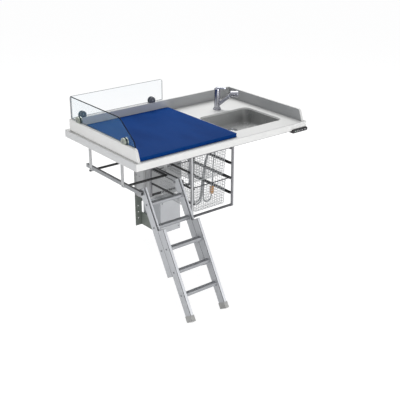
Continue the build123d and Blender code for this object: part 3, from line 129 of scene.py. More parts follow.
class Body(Enum):
    """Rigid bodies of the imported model."""

    WALL = "wall_unit"
    TABLE = "table"
    CARRIAGE = "ladder_carriage"
    UPPER_LADDER = "ladder_upper_section"
    LOWER_LADDER = "ladder_lower_section"
    BASKET_HIGH = "basket_high"
    BASKET_LOW = "basket_low"
    TAP = "tap_column"
    SPRAY = "tap_spray"
    CAP = "tap_temperature_cap"
    LEVER = "tap_flow_lever"
    PLUG = "plug"
    BUTTON_UP = "button_up"
    BUTTON_DOWN = "button_down"


class Grain(Enum):
    """Direction in which a metal's brush lines run."""

    NONE = "none"
    ACROSS = "x"
    DEPTH = "y"
    UPRIGHT = "z"
    LADDER = "ladder"


# Shader expressions


@dataclass(frozen=True)
class Value:
    """A number that varies over a surface, with arithmetic that adds Math nodes."""

    tree: "Shader"
    socket: bpy.types.NodeSocket

    def _math(self, operation: str, first: Scalar, second: Scalar = 0.0) -> "Value":
        """Adds one Math node.

        Args:
            operation: Blender's name of the operation.
            first: First operand.
            second: Second operand.

        Returns:
            The node's result.
        """
        return self.tree.node("ShaderNodeMath", {"operation": operation}, {0: first, 1: second})

    def __add__(self, other: Scalar) -> "Value":
        """Sum."""
        return self._math("ADD", self, other)

    __radd__ = __add__

    def __sub__(self, other: Scalar) -> "Value":
        """Difference."""
        return self._math("SUBTRACT", self, other)

    def __rsub__(self, other: Scalar) -> "Value":
        """Difference from a plain number."""
        return self._math("SUBTRACT", other, self)

    def __mul__(self, other: Scalar) -> "Value":
        """Product."""
        return self._math("MULTIPLY", self, other)

    __rmul__ = __mul__

    def sine(self) -> "Value":
        """Sine of the value."""
        return self._math("SINE", self)

    def smaller(self, other: Scalar) -> "Value":
        """The smaller of two values."""
        return self._math("MINIMUM", self, other)

    def larger(self, other: Scalar) -> "Value":
        """The larger of two values."""
        return self._math("MAXIMUM", self, other)

    def over(self, low: float, high: float) -> "Value":
        """Mask that climbs smoothly from 0 at low to 1 at high.

        Args:
            low: Value at which the mask is 0.
            high: Value at which the mask is 1; it may be the smaller of the two.

        Returns:
            The mask.
        """
        return self.tree.node(
            "ShaderNodeMapRange",
            {"interpolation_type": "SMOOTHSTEP", "clamp": True},
            {"Value": self, "From Min": low, "From Max": high, "To Min": 0.0, "To Max": 1.0},
            "Result",
        )


class Shader:
    """Node tree of one material or of the world, filled through a single node method."""

    def __init__(self, owner: Union[bpy.types.Material, bpy.types.World]) -> None:
        """Starts with an empty tree.

        Args:
            owner: Material or world that holds the tree.
        """
        self.owner = owner
        owner.use_nodes = True
        self.nodes = owner.node_tree.nodes
        self.links = owner.node_tree.links
        self.nodes.clear()

    @classmethod
    def named(cls, name: str) -> "Shader":
        """Starts a new material of the given name."""
        return cls(bpy.data.materials.new(name))

    def node(
        self,
        kind: str,
        settings: Optional[dict] = None,
        inputs: Optional[dict] = None,
        output: Union[int, str] = 0,
    ) -> Value:
        """Adds any node, sets its properties first and then its sockets.

        Args:
            kind: Blender's node type.
            settings: Properties of the node, which may change its sockets.
            inputs: Socket name or number to a value, colour or other node's output.
            output: Socket of the node that is handed back.

        Returns:
            The chosen output, or None for an output node.
        """
        made = self.nodes.new(kind)
        for key, value in (settings or {}).items():
            setattr(made, key, value)
        for key, value in (inputs or {}).items():
            if isinstance(value, Value):
                self.links.new(value.socket, made.inputs[key])
            else:
                made.inputs[key].default_value = value
        return Value(self, made.outputs[output]) if made.outputs else None

    def place(self, scale: Point = (1.0, 1.0, 1.0), turn: Point = (0.0, 0.0, 0.0)) -> Value:
        """Place on the object, turned and stretched.

        Args:
            scale: Stretch along the three axes, after the turn.
            turn: Euler angles in radians.

        Returns:
            The place as a vector.
        """
        coordinates = self.node("ShaderNodeTexCoord", output="Object")
        turned = self.node(
            "ShaderNodeMapping", {}, {"Vector": coordinates, "Rotation": tuple(turn)})
        return self.node("ShaderNodeMapping", {}, {"Vector": turned, "Scale": tuple(scale)})

    def axis(self, letter: str) -> Value:
        """One coordinate of the place on the object: X, Y or Z."""
        coordinates = self.node("ShaderNodeTexCoord", output="Object")
        return self.node("ShaderNodeSeparateXYZ", {}, {0: coordinates}, letter)

    def corner(self, letter: str) -> Value:
        """One coordinate in the table's corner frame, in millimetres: X, Y or Z."""
        start = {"X": CORNER_X, "Y": CORNER_Y, "Z": CORNER_Z}[letter]
        return self.axis(letter) * (1.0 / MM) - start

    def add_painted_shading(self, colour: Union[Point, Value], painted_shading: Sequence["Zone"]) -> Value:
        """Lays painted light and shade over a colour.

        Args:
            colour: Colour of the whole surface.
            painted_shading: Patches of painted light and shade, in the order in which they are laid
                on.

        Returns:
            The mixed colour, or the plain one where there is no zone.
        """
        for zone in painted_shading:
            colour = self.blend(zone.mask(self), colour, zone.colour)
        return colour

    def noise(self, where: Value, scale: float, detail: float = 2.0) -> Value:
        """Fractal noise between 0 and 1.

        Args:
            where: Place at which the noise is read.
            scale: Features per metre, about.
            detail: Number of octaves.

        Returns:
            The noise.
        """
        return self.node(
            "ShaderNodeTexNoise", {}, {"Vector": where, "Scale": scale, "Detail": detail}, 0)

    def cells(self, where: Value, scale: float) -> Value:
        """Distance to the nearest cell point, for grain and pebbled skins."""
        return self.node(
            "ShaderNodeTexVoronoi", {}, {"Vector": where, "Scale": scale}, "Distance")

    def blend(
        self, factor: Scalar, first: Union[Point, Value], second: Union[Point, Value],
    ) -> Value:
        """Mixes two colours.

        Args:
            factor: 0 for the first colour and 1 for the second.
            first: Colour, or another mix.
            second: Colour, or another mix.

        Returns:
            The mixed colour.
        """
        return self.node(
            "ShaderNodeMix", {"data_type": "RGBA"},
            {0: factor, 6: self._colour(first), 7: self._colour(second)}, 2)

    @staticmethod
    def _colour(value: Union[Point, Value]) -> Union[tuple, Value]:
        """Colour as a socket takes it: a link as it is, and plain shares with an alpha of 1."""
        return value if isinstance(value, Value) else (*value, 1.0)

    def bump(self, height: Value, depth: float, strength: float = 1.0) -> Value:
        """Normal bent by a height.

        Args:
            height: Height between 0 and 1.
            depth: What a height of 1 stands out, in metres.
            strength: Share of the full effect.

        Returns:
            The normal.
        """
        return self.node(
            "ShaderNodeBump", {}, {"Height": height, "Distance": depth, "Strength": strength})

    def surface(self, **sockets: Union[Scalar, tuple]) -> bpy.types.Material:
        """Ends the tree in a Principled shader.

        Args:
            sockets: Principled sockets, with underscores for the spaces in their names.

        Returns:
            The finished material.
        """
        inputs = {name.replace("_", " "): value for name, value in sockets.items()}
        shader = self.node("ShaderNodeBsdfPrincipled", {}, inputs)
        self.node("ShaderNodeOutputMaterial", {}, {"Surface": shader})
        return self.owner


# Finishes


@dataclass(frozen=True)
class Zone:
    """Box-shaped stretch of a surface with painted light or shade, such as a shaded face, a dark
    recess or a lit face.

    Each span holds an axis letter and the places, in the table's corner frame in millimetres,
    where the zone starts and ends; None leaves that side open. A fourth item sets how softly
    that span ends, in place of the zone's own softness.
    """

    colour: tuple
    spans: tuple
    soft: float = 0.4
    share: float = 1.0

    def mask(self, tree: Shader) -> Value:
        """Share of the zone's colour at each place.

        Args:
            tree: Tree to which its nodes are added.

        Returns:
            The share, between 0 and 1.
        """
        result = None
        for letter, low, high, *own in self.spans:
            place = tree.corner(letter)
            soft = own[0] if own else self.soft
            for edge, sign in ((low, 1.0), (high, -1.0)):
                if edge is None:
                    continue
                side = place.over(edge - sign * soft, edge + sign * soft)
                result = side if result is None else result.smaller(side)
        return result * self.share


def linear_share(level: float) -> float:
    """Linear share of light for a level of 0 to 255 on screen."""
    share = level / 255
    return share / 12.92 if share <= 0.04045 else ((share + 0.055) / 1.055) ** 2.4


def srgb(red: float, green: float, blue: float) -> tuple:
    """Colour written as 0 to 255 on screen, turned into linear shares."""
    return (linear_share(red), linear_share(green), linear_share(blue))


@dataclass(frozen=True)
class Moulding:
    """Smooth moulded plastic with a faint skin texture and slight wear.

    A pitch of ribs, in millimetres, adds grooves across the ladder's slope.
    """

    name: str
    colour: tuple
    shade: tuple
    roughness: float = 0.34
    gloss: float = 0.5
    skin: float = 0.00006
    skin_scale: float = 900.0
    cloud_scale: float = 5.0
    scuff_scale: float = 60.0
    coat: float = 0.0
    painted_shading: tuple = ()
    ribs: float = 0.0

    def build(self) -> bpy.types.Material:
        """Makes the material.

        Returns:
            The material.
        """
        tree = Shader.named(self.name)
        where = tree.place()
        cloud = tree.noise(where, self.cloud_scale, 3.0)
        fine = tree.noise(where, self.skin_scale, 2.0)
        if self.ribs:
            down = tree.axis("Y") * math.sin(LEAN) + tree.axis("Z") * math.cos(LEAN)
            fine = fine * 0.2 + (down * (2 * math.pi / (self.ribs * MM))).sine().over(-0.4, 0.4)
        scuff = tree.noise(where, self.scuff_scale, 4.0).over(0.62, 0.78)
        colour = tree.blend(cloud.over(0.35, 0.75) * 0.6 + scuff * 0.25, self.colour, self.shade)
        return tree.surface(
            Base_Color=tree.add_painted_shading(colour, self.painted_shading),
            Roughness=self.roughness + cloud * 0.06 + scuff * 0.08,
            Specular_IOR_Level=self.gloss, Coat_Weight=self.coat,
            Normal=tree.bump(fine, self.skin))


@dataclass(frozen=True)
class CoatedFabric:
    """Wipe-clean coated fabric: fine pebble grain over a woven backing."""

    name: str
    colour: tuple
    shade: tuple
    roughness: float = 0.5
    gloss: float = 0.03
    pebble_scale: float = 620.0
    weave_scale: float = 2600.0
    crease_scale: float = 7.0
    relief: float = 0.00035

    def build(self) -> bpy.types.Material:
        """Makes the material.

        Returns:
            The material.
        """
        tree = Shader.named(self.name)
        pebble = tree.cells(tree.place(), self.pebble_scale)
        warp = (tree.axis("X") * self.weave_scale).sine()
        weft = (tree.axis("Y") * self.weave_scale).sine()
        crease = tree.noise(tree.place((1.0, 0.45, 1.0)), self.crease_scale, 4.0)
        height = pebble * 0.6 + warp * weft * 0.12 + crease * 0.5
        colour = tree.blend(
            crease.over(0.38, 0.7) * 0.55 + pebble.over(0.5, 0.1) * 0.2, self.colour, self.shade)
        return tree.surface(
            Base_Color=colour, Roughness=self.roughness + pebble * 0.14 + crease * 0.06,
            Specular_IOR_Level=self.gloss, Normal=tree.bump(height, self.relief))


@dataclass(frozen=True)
class Powder:
    """Powder-coated steel: a fine orange peel, cloudy tones and a few rubbed spots."""

    name: str
    colour: tuple
    shade: tuple
    roughness: float = 0.42
    metallic: float = 0.0
    peel: float = 0.00018
    peel_scale: float = 700.0
    cloud_scale: float = 9.0
    chip_scale: float = 140.0
    painted_shading: tuple = ()

    def build(self) -> bpy.types.Material:
        """Makes the material.

        Returns:
            The material.
        """
        tree = Shader.named(self.name)
        where = tree.place()
        peel = tree.noise(where, self.peel_scale, 1.0)
        cloud = tree.noise(where, self.cloud_scale, 3.0)
        chips = tree.noise(where, self.chip_scale, 5.0).over(0.7, 0.78)
        colour = tree.blend(cloud.over(0.3, 0.8) * 0.7 + chips * 0.3, self.colour, self.shade)
        return tree.surface(
            Base_Color=tree.add_painted_shading(colour, self.painted_shading),
            Roughness=self.roughness + cloud * 0.08, Metallic=self.metallic,
            Normal=tree.bump(peel, self.peel, 0.6))


@dataclass(frozen=True)
class Metal:
    """Bare or anodised metal, brushed along one direction."""

    name: str
    colour: tuple
    shade: tuple
    roughness: float = 0.3
    metallic: float = 1.0
    grain: Grain = Grain.NONE
    depth: float = 0.00004
    line_scale: float = 1400.0
    line_stretch: float = 0.02
    cloud_scale: float = 14.0
    painted_shading: tuple = ()

    def build(self) -> bpy.types.Material:
        """Makes the material.

        Returns:
            The material.
        """
        tree = Shader.named(self.name)
        along = self.line_stretch
        stretch = {
            Grain.NONE: (1.0, 1.0, 1.0), Grain.ACROSS: (along, 1.0, 1.0),
            Grain.DEPTH: (1.0, along, 1.0), Grain.UPRIGHT: (1.0, 1.0, along),
            Grain.LADDER: (1.0, 1.0, along)}[self.grain]
        lean = LEAN if self.grain is Grain.LADDER else 0.0
        lines = tree.noise(tree.place(stretch, (lean, 0.0, 0.0)), self.line_scale, 3.0)
        cloud = tree.noise(tree.place(), self.cloud_scale, 3.0)
        colour = tree.blend(lines * 0.35 + cloud.over(0.3, 0.8) * 0.5, self.colour, self.shade)
        return tree.surface(
            Base_Color=tree.add_painted_shading(colour, self.painted_shading), Metallic=self.metallic,
            Roughness=self.roughness + lines * 0.12 + cloud * 0.05,
            Normal=tree.bump(lines, self.depth))


@dataclass(frozen=True)
class Pane:
    """Clear toughened glass: faint in the pane and strong along its edges, where a dark colour
    paints the shade and reflection of the glass edges.
    """

    name: str
    tint: tuple
    edge: tuple
    low: tuple
    high: tuple
    body: float = 0.042
    rim: float = 0.3
    rim_width: float = 3.0
    rim_core: float = 1.2
    thickest: float = 20.0
    smear_scale: float = 11.0

    def build(self) -> bpy.types.Material:
        """Makes the material.

        Returns:
            The material.
        """
        tree = Shader.named(self.name)
        near = None
        for letter, low, high in zip("XYZ", self.low, self.high):
            if high - low < self.thickest * MM:
                continue
            place = tree.axis(letter)
            rim = (place - low).smaller(high - place).over(
                self.rim_width * MM, self.rim_core * MM)
            near = rim if near is None else near.larger(rim)
        smear = tree.noise(tree.place(), self.smear_scale, 4.0)
        return tree.surface(
            Base_Color=tree.blend(near, self.tint, self.edge),
            Alpha=self.body + near * self.rim + smear * 0.02,
            Roughness=0.04 + smear * 0.06, Specular_IOR_Level=0.5)


@dataclass(frozen=True)
class Braid:
    """Woven steel braid on a hose; reads turns round and metres along from the mesh's UV map."""

    name: str
    colour: tuple
    shade: tuple
    strands: int = 12
    turns: float = 260.0
    relief: float = 0.0006
    wear_scale: float = 90.0

    def build(self) -> bpy.types.Material:
        """Makes the material.

        Returns:
            The material.
        """
        tree = Shader.named(self.name)
        flat = tree.node("ShaderNodeTexCoord", output="UV")
        turn = tree.node("ShaderNodeSeparateXYZ", {}, {0: flat}, "X")
        along = tree.node("ShaderNodeSeparateXYZ", {}, {0: flat}, "Y")
        strands = 2 * math.pi * self.strands
        pitch = 2 * math.pi * self.turns
        left = (turn * strands + along * pitch).sine()
        right = (turn * strands - along * pitch).sine()
        weave = left.larger(right)
        wear = tree.noise(tree.place(), self.wear_scale, 3.0)
        colour = tree.blend(weave.over(0.9, -0.2) * 0.8 + wear * 0.2, self.colour, self.shade)
        return tree.surface(
            Base_Color=colour, Metallic=0.75, Roughness=0.34 + wear * 0.15,
            Normal=tree.bump(weave * 0.5 + 0.5, self.relief))


@dataclass(frozen=True)
class Ground:
    """Pale studio floor that keeps a soft shadow."""

    name: str = "studio_floor"
    level: float = 0.86
    glow: float = 1.23
    share: float = 0.75

    def build(self) -> bpy.types.Material:
        """Makes the material.

        Returns:
            The material.
        """
        tree = Shader.named(self.name)
        matt = tree.node(
            "ShaderNodeBsdfDiffuse", {}, {"Color": (self.level, self.level, self.level, 1.0)})
        glow = tree.node(
            "ShaderNodeEmission", {}, {"Color": (1.0, 1.0, 1.0, 1.0), "Strength": self.glow})
        mixed = tree.node(
            "ShaderNodeMixShader", {}, {0: seen_share(tree, self.share), 1: matt, 2: glow})
        tree.node("ShaderNodeOutputMaterial", {}, {"Surface": mixed})
        return tree.owner


def seen_share(tree: Shader, share: float) -> Value:
    """Share for rays of the camera, reflections and glass, and 0 for all other light.

    Args:
        tree: Tree to which its nodes are added.
        share: Share that the camera gets.

    Returns:
        The share for the ray at hand.
    """
    camera = tree.node("ShaderNodeLightPath", output="Is Camera Ray")
    glossy = tree.node("ShaderNodeLightPath", output="Is Glossy Ray")
    through = tree.node("ShaderNodeLightPath", output="Is Transmission Ray")
    return camera.larger(glossy * 0.5).larger(through) * share


class Finishes:
    """Finishes of the object, with the material that is made once for each."""

    WHITE = Moulding(
        "worktop_white", srgb(240, 240, 238), srgb(232, 232, 230), coat=0.1, painted_shading=(
            # Painted shade: a grey line along the front top edge, a dark foot of the rim and a
            # darker left end face.
            Zone(srgb(150, 152, 154), (("Y", None, 3.2), ("Z", 44.6, 48.6)), 0.5, 0.4),
            Zone(srgb(128, 130, 132), (("Z", None, 2.4),), 0.8, 0.9),
            Zone(srgb(220, 221, 221), (("X", None, 0.6),), 0.3),
            # Painted shade in the crevices where the upstands meet the rim's ledge.
            Zone(srgb(150, 152, 154), (("X", 16.4, 19.3), ("Z", 47.0, 50.2)), 0.5, 0.8),
            Zone(srgb(150, 152, 154), (("X", 1380.7, 1383.6), ("Z", 47.0, 50.2)), 0.5, 0.8),
            # Painted shade on the deck: a little grey all over, darker towards the rear and right
            # upstands.
            Zone(srgb(224, 224, 222), (("Z", 47.0, 48.7),), 0.3, 0.85),
            Zone(srgb(184, 184, 182), (("Y", 725.0, None, 62.0), ("Z", 47.0, 48.7)), 0.3, 0.7),
            Zone(srgb(186, 186, 184), (("X", 1330.0, 1361.0, 34.0), ("Z", 47.0, 48.7)), 0.3, 0.7),
            # Painted shade on the inner faces of the rear and right upstands.
            Zone(srgb(176, 178, 180), (("Y", 785.0, 788.5), ("X", 800, 1360, 40.0),
                                       ("Z", 47.0, 126.0)), 0.8, 0.8),
            Zone(srgb(152, 154, 156), (("X", 1359.5, 1362.5), ("Y", None, 787),
                                       ("Z", 47.5, 126.0)), 0.8, 0.85)))
    # The tub is as white as the worktop: its grey colour is painted shade, darker low down, on the
    # right wall and in the rear right corner, and lighter low at the front left.
    TUB = Moulding(
        "tub_white", srgb(190, 191, 190), srgb(182, 183, 182), roughness=0.24, coat=0.2, painted_shading=(
            Zone(srgb(164, 165, 164), (("Z", None, 0.0),), 60.0),
            Zone(srgb(236, 236, 234), (("X", None, 1130.0, 120.0), ("Y", None, 350.0, 100.0),
                                       ("Z", None, 0.0, 40.0)), share=0.9),
            Zone(srgb(132, 133, 132), (("X", 1268.0, None, 12.0),), share=0.85),
            Zone(srgb(112, 113, 112), (("X", 1190.0, None, 90.0), ("Y", 430.0, None, 90.0),
                                       ("Z", None, 0.0, 40.0)), share=0.7)))
    BLUE = CoatedFabric("mattress_blue", srgb(6, 58, 124), srgb(4, 48, 108))
    # One clamp finish in a shaded and a lit copy: painted shade and reflection make the rear clamps
    # darker and the side clamps paler.
    CLAMP_SHADED = Metal(
        "clamp_shaded", srgb(126, 128, 133), srgb(96, 98, 103), roughness=0.3, metallic=0.5)
    CLAMP_LIT = Metal(
        "clamp_lit", srgb(168, 174, 164), srgb(146, 152, 142), roughness=0.34, metallic=0.4)
    FRAME = Powder("frame_white", srgb(196, 196, 194), srgb(178, 178, 176))
    COLUMN = Metal("column_steel", srgb(176, 178, 180), srgb(146, 148, 150), grain=Grain.UPRIGHT)
    LIFT = Powder("lift_grey", srgb(178, 179, 180), srgb(166, 167, 168), painted_shading=(
        # Painted shade on the housing's left face: dark towards the rear, lighter in the middle and
        # a little darker towards the front.
        Zone(srgb(98, 99, 100), (("X", None, 543), ("Y", 835, None)), 16.0, 0.85),
        Zone(srgb(128, 129, 130), (("X", None, 543), ("Y", None, 738)), 10.0, 0.7)))
    COVER = Powder("cover_grey", srgb(212, 214, 217), srgb(200, 202, 205), painted_shading=(
        # Painted shade on the cover's left face.
        Zone(srgb(170, 173, 177), (("X", None, 612.5),)),))
    # The arms are painted dark inward of the rails, as shade.
    ARM = Metal("carriage_aluminium", srgb(168, 170, 172), srgb(146, 148, 151), metallic=0.4,
                grain=Grain.DEPTH, painted_shading=(Zone(srgb(46, 46, 50), (("X", 94.4, 387.6),)),))
    WALL = Powder("wall_frame_grey", srgb(122, 128, 122), srgb(102, 108, 102))
    MOTOR = Powder("motor_dark", srgb(48, 48, 50), srgb(38, 38, 40), roughness=0.5)
    RAIL = Metal(
        "rail_aluminium", srgb(168, 170, 172), srgb(146, 148, 151), grain=Grain.DEPTH,
        metallic=0.4, painted_shading=(
            # Painted shade: a dark line along the rails' tops and dark insides between their
            # flanges.
            Zone(srgb(84, 85, 88), (("Z", -173.9, None),), 0.3, 0.9),
            Zone(srgb(58, 58, 61), (("X", 80.3, 401.7), ("Z", -194.7, -175.3)), 0.3, 0.9)))
    HANGER = Powder("hanger_steel", srgb(196, 197, 198), srgb(182, 183, 184))
    BAR = Powder("bar_black", srgb(36, 36, 38), srgb(28, 28, 30), roughness=0.38)
    LADDER = Metal(
        "ladder_aluminium", srgb(202, 204, 207), srgb(188, 190, 194), grain=Grain.LADDER,
        # Painted on each stile: a dark line near the left edge as the shade of the profile's corner,
        # and the broad faces lighter than the side faces as painted light.
        roughness=0.36, metallic=0.3, painted_shading=tuple(
            Zone(colour, (("X", left + low, left + high),), 0.3)
            for left in (100, 360)
            for colour, low, high in (
                (srgb(218, 220, 224), 3.3, 21.6), (srgb(44, 46, 50), 0.35, 3.3))))
    TREAD = Metal(
        "tread_aluminium", srgb(172, 174, 177), srgb(154, 156, 160), grain=Grain.ACROSS,
        roughness=0.4, metallic=0.35)
    FOOT = Moulding(
        "foot_grey", srgb(184, 184, 182), srgb(168, 168, 166), roughness=0.68, gloss=0.3,
        skin=0.0004, ribs=5.0)
    CAP = Moulding("cap_grey", srgb(150, 151, 153), srgb(134, 135, 138), roughness=0.6)
    DARK_CAP = Moulding("cap_black", srgb(40, 40, 43), srgb(32, 32, 35), roughness=0.55)
    # Painted light and shade: the left post's front face lighter, its inner face dark, and the frame
    # between the posts dark below the worktop.
    POST_LEFT = Powder("basket_frame_left_grey", srgb(150, 150, 154), srgb(134, 134, 138), painted_shading=(
        Zone(srgb(206, 207, 208), (("Y", None, 35.6),), 0.4, 0.9),
        Zone(srgb(30, 30, 32), (("X", 443.5, None),), 0.8, 0.9),
        Zone(srgb(30, 30, 32), (("Y", 49, 493), ("Z", None, 0)), 1.0)))
    # Painted shade: the frame between the posts dark below the worktop.
    POST_RIGHT = Powder("basket_frame_right_grey", srgb(150, 150, 154), srgb(136, 136, 140), painted_shading=(
        Zone(srgb(30, 30, 32), (("Y", 49, 493), ("Z", None, 0)), 1.0),))
    RAIL_DARK = Powder("basket_rail_grey", srgb(92, 93, 97), srgb(80, 81, 85))
    WIRE = Powder("basket_wire", srgb(188, 190, 192), srgb(168, 170, 172), peel=0.00006)
    RIM_WIRE = Powder("basket_rim_wire", srgb(104, 105, 108), srgb(88, 89, 92), peel=0.00006)
    DRAIN = Metal("drain_chrome", srgb(206, 208, 210), srgb(176, 178, 182), roughness=0.14)
    TRAP = Moulding("trap_white", srgb(214, 214, 211), srgb(196, 196, 193), roughness=0.5)
    CHROME = Metal("tap_chrome", srgb(176, 177, 184), srgb(138, 138, 148), roughness=0.13)
    # A paler, lit copy of the tap chrome: painted highlight on the lever, the rings, the nozzle rim
    # and the plug's knob.
    CHROME_LIT = Metal(
        "tap_chrome_lit", srgb(222, 224, 229), srgb(194, 196, 203), roughness=0.18, metallic=0.7)
    NOZZLE = Moulding("nozzle_dark", srgb(70, 71, 76), srgb(56, 57, 62), roughness=0.5)
    HOT = Moulding("mark_red", srgb(176, 44, 40), srgb(150, 34, 32), roughness=0.4)
    COLD = Moulding("mark_blue", srgb(40, 84, 168), srgb(32, 66, 140), roughness=0.4)
    HOSE = Braid("hose_grey", srgb(166, 168, 171), srgb(96, 98, 102))
    BRASS = Metal(
        "weight_brass", srgb(214, 156, 86), srgb(176, 120, 56), roughness=0.34, metallic=0.6,
        grain=Grain.ACROSS)
    VALVE = Powder("connector_dark", srgb(66, 66, 70), srgb(50, 50, 54), metallic=0.4)
    PANEL = Moulding(
        "panel_black", srgb(38, 38, 41), srgb(30, 30, 33), roughness=0.5, skin=0.00025,
        skin_scale=1500.0)
    BUTTON = Moulding("button_grey", srgb(64, 65, 69), srgb(54, 55, 59), roughness=0.4)
    MARK = Moulding("panel_mark", srgb(244, 245, 246), srgb(230, 232, 234), roughness=0.45)
    LENS = Moulding("lamp_lens", srgb(206, 226, 214), srgb(176, 204, 190), roughness=0.15)
    GASKET = Moulding(
        "seal_dark", srgb(22, 24, 30), srgb(16, 18, 22), roughness=0.7, gloss=0.15)
    SEALANT = Moulding("sealant_white", srgb(214, 215, 214), srgb(200, 201, 200), roughness=0.55)
    SCREW = Metal("screw_steel", srgb(150, 152, 155), srgb(110, 112, 116), roughness=0.32)

    def __init__(self) -> None:
        """Starts with no material made."""
        self._made: dict = {}

    def get(self, finish: object) -> bpy.types.Material:
        """Looks a material up, or makes it when it is first asked for.

        Args:
            finish: Finish with a build method.

        Returns:
            The material.
        """
        if finish not in self._made:
            self._made[finish] = finish.build()
        return self._made[finish]


# Mesh making

# Steps round a rounded corner of a level loop.
CORNER_STEPS = 6

# Profile of a round screw head with its socket, as shares of the head's radius.
PAN_HEAD = (
    (0.0, 0.0), (0.0, 1.0), (0.24, 1.0), (0.46, 0.86), (0.58, 0.6), (0.6, 0.42), (0.26, 0.4),
    (0.26, 0.0))


class Form:
    """One mesh that is built up from turned, swept and box-shaped pieces."""

    def __init__(self, name: str) -> None:
        """Starts an empty mesh.

        Args:
            name: Name of the piece.
        """
        self.name = name
        self.mesh = bmesh.new()
        self.flat = self.mesh.loops.layers.uv.new("flat")

    def turned(
        self, start: Vector, direction: Vector, profile: Sequence[Point], sides: int = 32,
    ) -> "Form":
        """Adds a closed turned body.

        Args:
            start: Point on the axis where the profile's distances start.
            direction: Direction of the axis.
            profile: (distance along the axis, radius) pairs; a radius of 0 closes an end.
            sides: Number of sides round the axis.

        Returns:
            This form.
        """
        turn = direction.to_track_quat("Z", "Y").to_matrix()
        rings = []
        for along, radius in profile:
            if radius <= 0.0:
                rings.append([self.mesh.verts.new(start + turn @ Vector((0.0, 0.0, along)))])
                continue
            ring = []
            for side in range(sides):
                angle = 2 * math.pi * side / sides
                offset = Vector((radius * math.cos(angle), radius * math.sin(angle), along))
                ring.append(self.mesh.verts.new(start + turn @ offset))
            rings.append(ring)
        for low, high in zip(rings, rings[1:]):
            self.bridge(low, high)
        for ring, flip in ((rings[0], True), (rings[-1], False)):
            if len(ring) > 2:
                self.mesh.faces.new(reversed(ring) if flip else ring)
        return self

    def bridge(self, low: list, high: list) -> None:
        """Joins two rings with faces.

        Args:
            low: Vertices of the first ring, or its single point.
            high: Vertices of the second ring, or its single point.
        """
        count = max(len(low), len(high))
        for side in range(count):
            after = (side + 1) % count
            if len(low) == 1:
                corners = [low[0], high[after], high[side]]
            elif len(high) == 1:
                corners = [low[side], low[after], high[0]]
            else:
                corners = [low[side], low[after], high[after], high[side]]
            if len(set(corners)) == len(corners):
                self.mesh.faces.new(corners)

    def tube(
        self, path: Sequence[Vector], radius: float, sides: int = 12, closed: bool = False,
    ) -> "Form":
        """Adds a round tube along points, with turns and metres in its UV map.

        Args:
            path: Points of the centre line.
            radius: Radius of the tube.
            sides: Number of sides round it.
            closed: True for a ring.

        Returns:
            This form.
        """
        points = [Vector(point) for point in path]
        count = len(points)
        tangents = []
        for index in range(count):
            if closed:
                before, after = points[index - 1], points[(index + 1) % count]
            else:
                before, after = points[max(index - 1, 0)], points[min(index + 1, count - 1)]
            tangents.append((after - before).normalized())
        normal = tangents[0].orthogonal().normalized()
        rings = []
        far = [0.0]
        for index, point in enumerate(points):
            normal = (normal - tangents[index] * normal.dot(tangents[index])).normalized()
            side_way = tangents[index].cross(normal)
            ring = []
            for side in range(sides):
                angle = 2 * math.pi * side / sides
                ring.append(self.mesh.verts.new(
                    point + normal * (radius * math.cos(angle))
                    + side_way * (radius * math.sin(angle))))
            rings.append(ring)
            if index:
                far.append(far[-1] + (point - points[index - 1]).length)
        pairs = list(zip(range(count - 1), range(1, count)))
        if closed:
            pairs.append((count - 1, 0))
        for first, second in pairs:
            for side in range(sides):
                after = (side + 1) % sides
                face = self.mesh.faces.new(
                    [rings[first][side], rings[first][after], rings[second][after],
                     rings[second][side]])
                ends = (far[first], far[first], far[second], far[second])
                turns = (side, side + 1, side + 1, side)
                for loop, turn, length in zip(face.loops, turns, ends):
                    loop[self.flat].uv = (turn / sides, length)
        if not closed:
            self.mesh.faces.new(reversed(rings[0]))
            self.mesh.faces.new(rings[-1])
        return self

    def prism(
        self, outline: Sequence[Vector], depth: Vector, bevel: float = 0.0, segments: int = 2,
    ) -> "Form":
        """Adds a flat outline pulled along a vector, with rounded edges.

        Args:
            outline: Corners of the outline, in order.
            depth: Vector from the outline to the far face.
            bevel: Width of the rounded edges.
            segments: Steps round each rounded edge.

        Returns:
            This form.
        """
        near = [self.mesh.verts.new(point) for point in outline]
        away = [self.mesh.verts.new(point + depth) for point in outline]
        count = len(near)
        faces = [self.mesh.faces.new(reversed(near)), self.mesh.faces.new(away)]
        for index in range(count):
            after = (index + 1) % count
            faces.append(self.mesh.faces.new([near[index], near[after], away[after], away[index]]))
        bmesh.ops.recalc_face_normals(self.mesh, faces=faces)
        if bevel > 0.0:
            edges = {edge for face in faces for edge in face.edges}
            bmesh.ops.bevel(
                self.mesh, geom=list(edges), offset=bevel, segments=segments, profile=0.5,
                affect="EDGES", clamp_overlap=True)
        return self

    def block(self, low: Vector, high: Vector, bevel: float = 0.0) -> "Form":
        """Adds a box with rounded edges.

        Args:
            low: Corner with the smallest coordinates.
            high: Corner with the largest coordinates.
            bevel: Width of the rounded edges.

        Returns:
            This form.
        """
        outline = [
            Vector((low.x, low.y, low.z)), Vector((high.x, low.y, low.z)),
            Vector((high.x, high.y, low.z)), Vector((low.x, high.y, low.z))]
        return self.prism(outline, Vector((0.0, 0.0, high.z - low.z)), bevel)

    def done(self, material: bpy.types.Material, crease: float = PLAIN) -> bpy.types.Object:
        """Turns the form into an object.

        Args:
            material: Its finish.
            crease: Angle in degrees past which an edge stays sharp.

        Returns:
            The object, linked into the scene.
        """
        data = bpy.data.meshes.new(self.name)
        bmesh.ops.recalc_face_normals(self.mesh, faces=self.mesh.faces)
        self.mesh.to_mesh(data)
        self.mesh.free()
        data.polygons.foreach_set("use_smooth", [True] * len(data.polygons))
        data.set_sharp_from_angle(angle=math.radians(crease))
        data.materials.append(material)
        made = bpy.data.objects.new(self.name, data)
        bpy.context.scene.collection.objects.link(made)
        return made


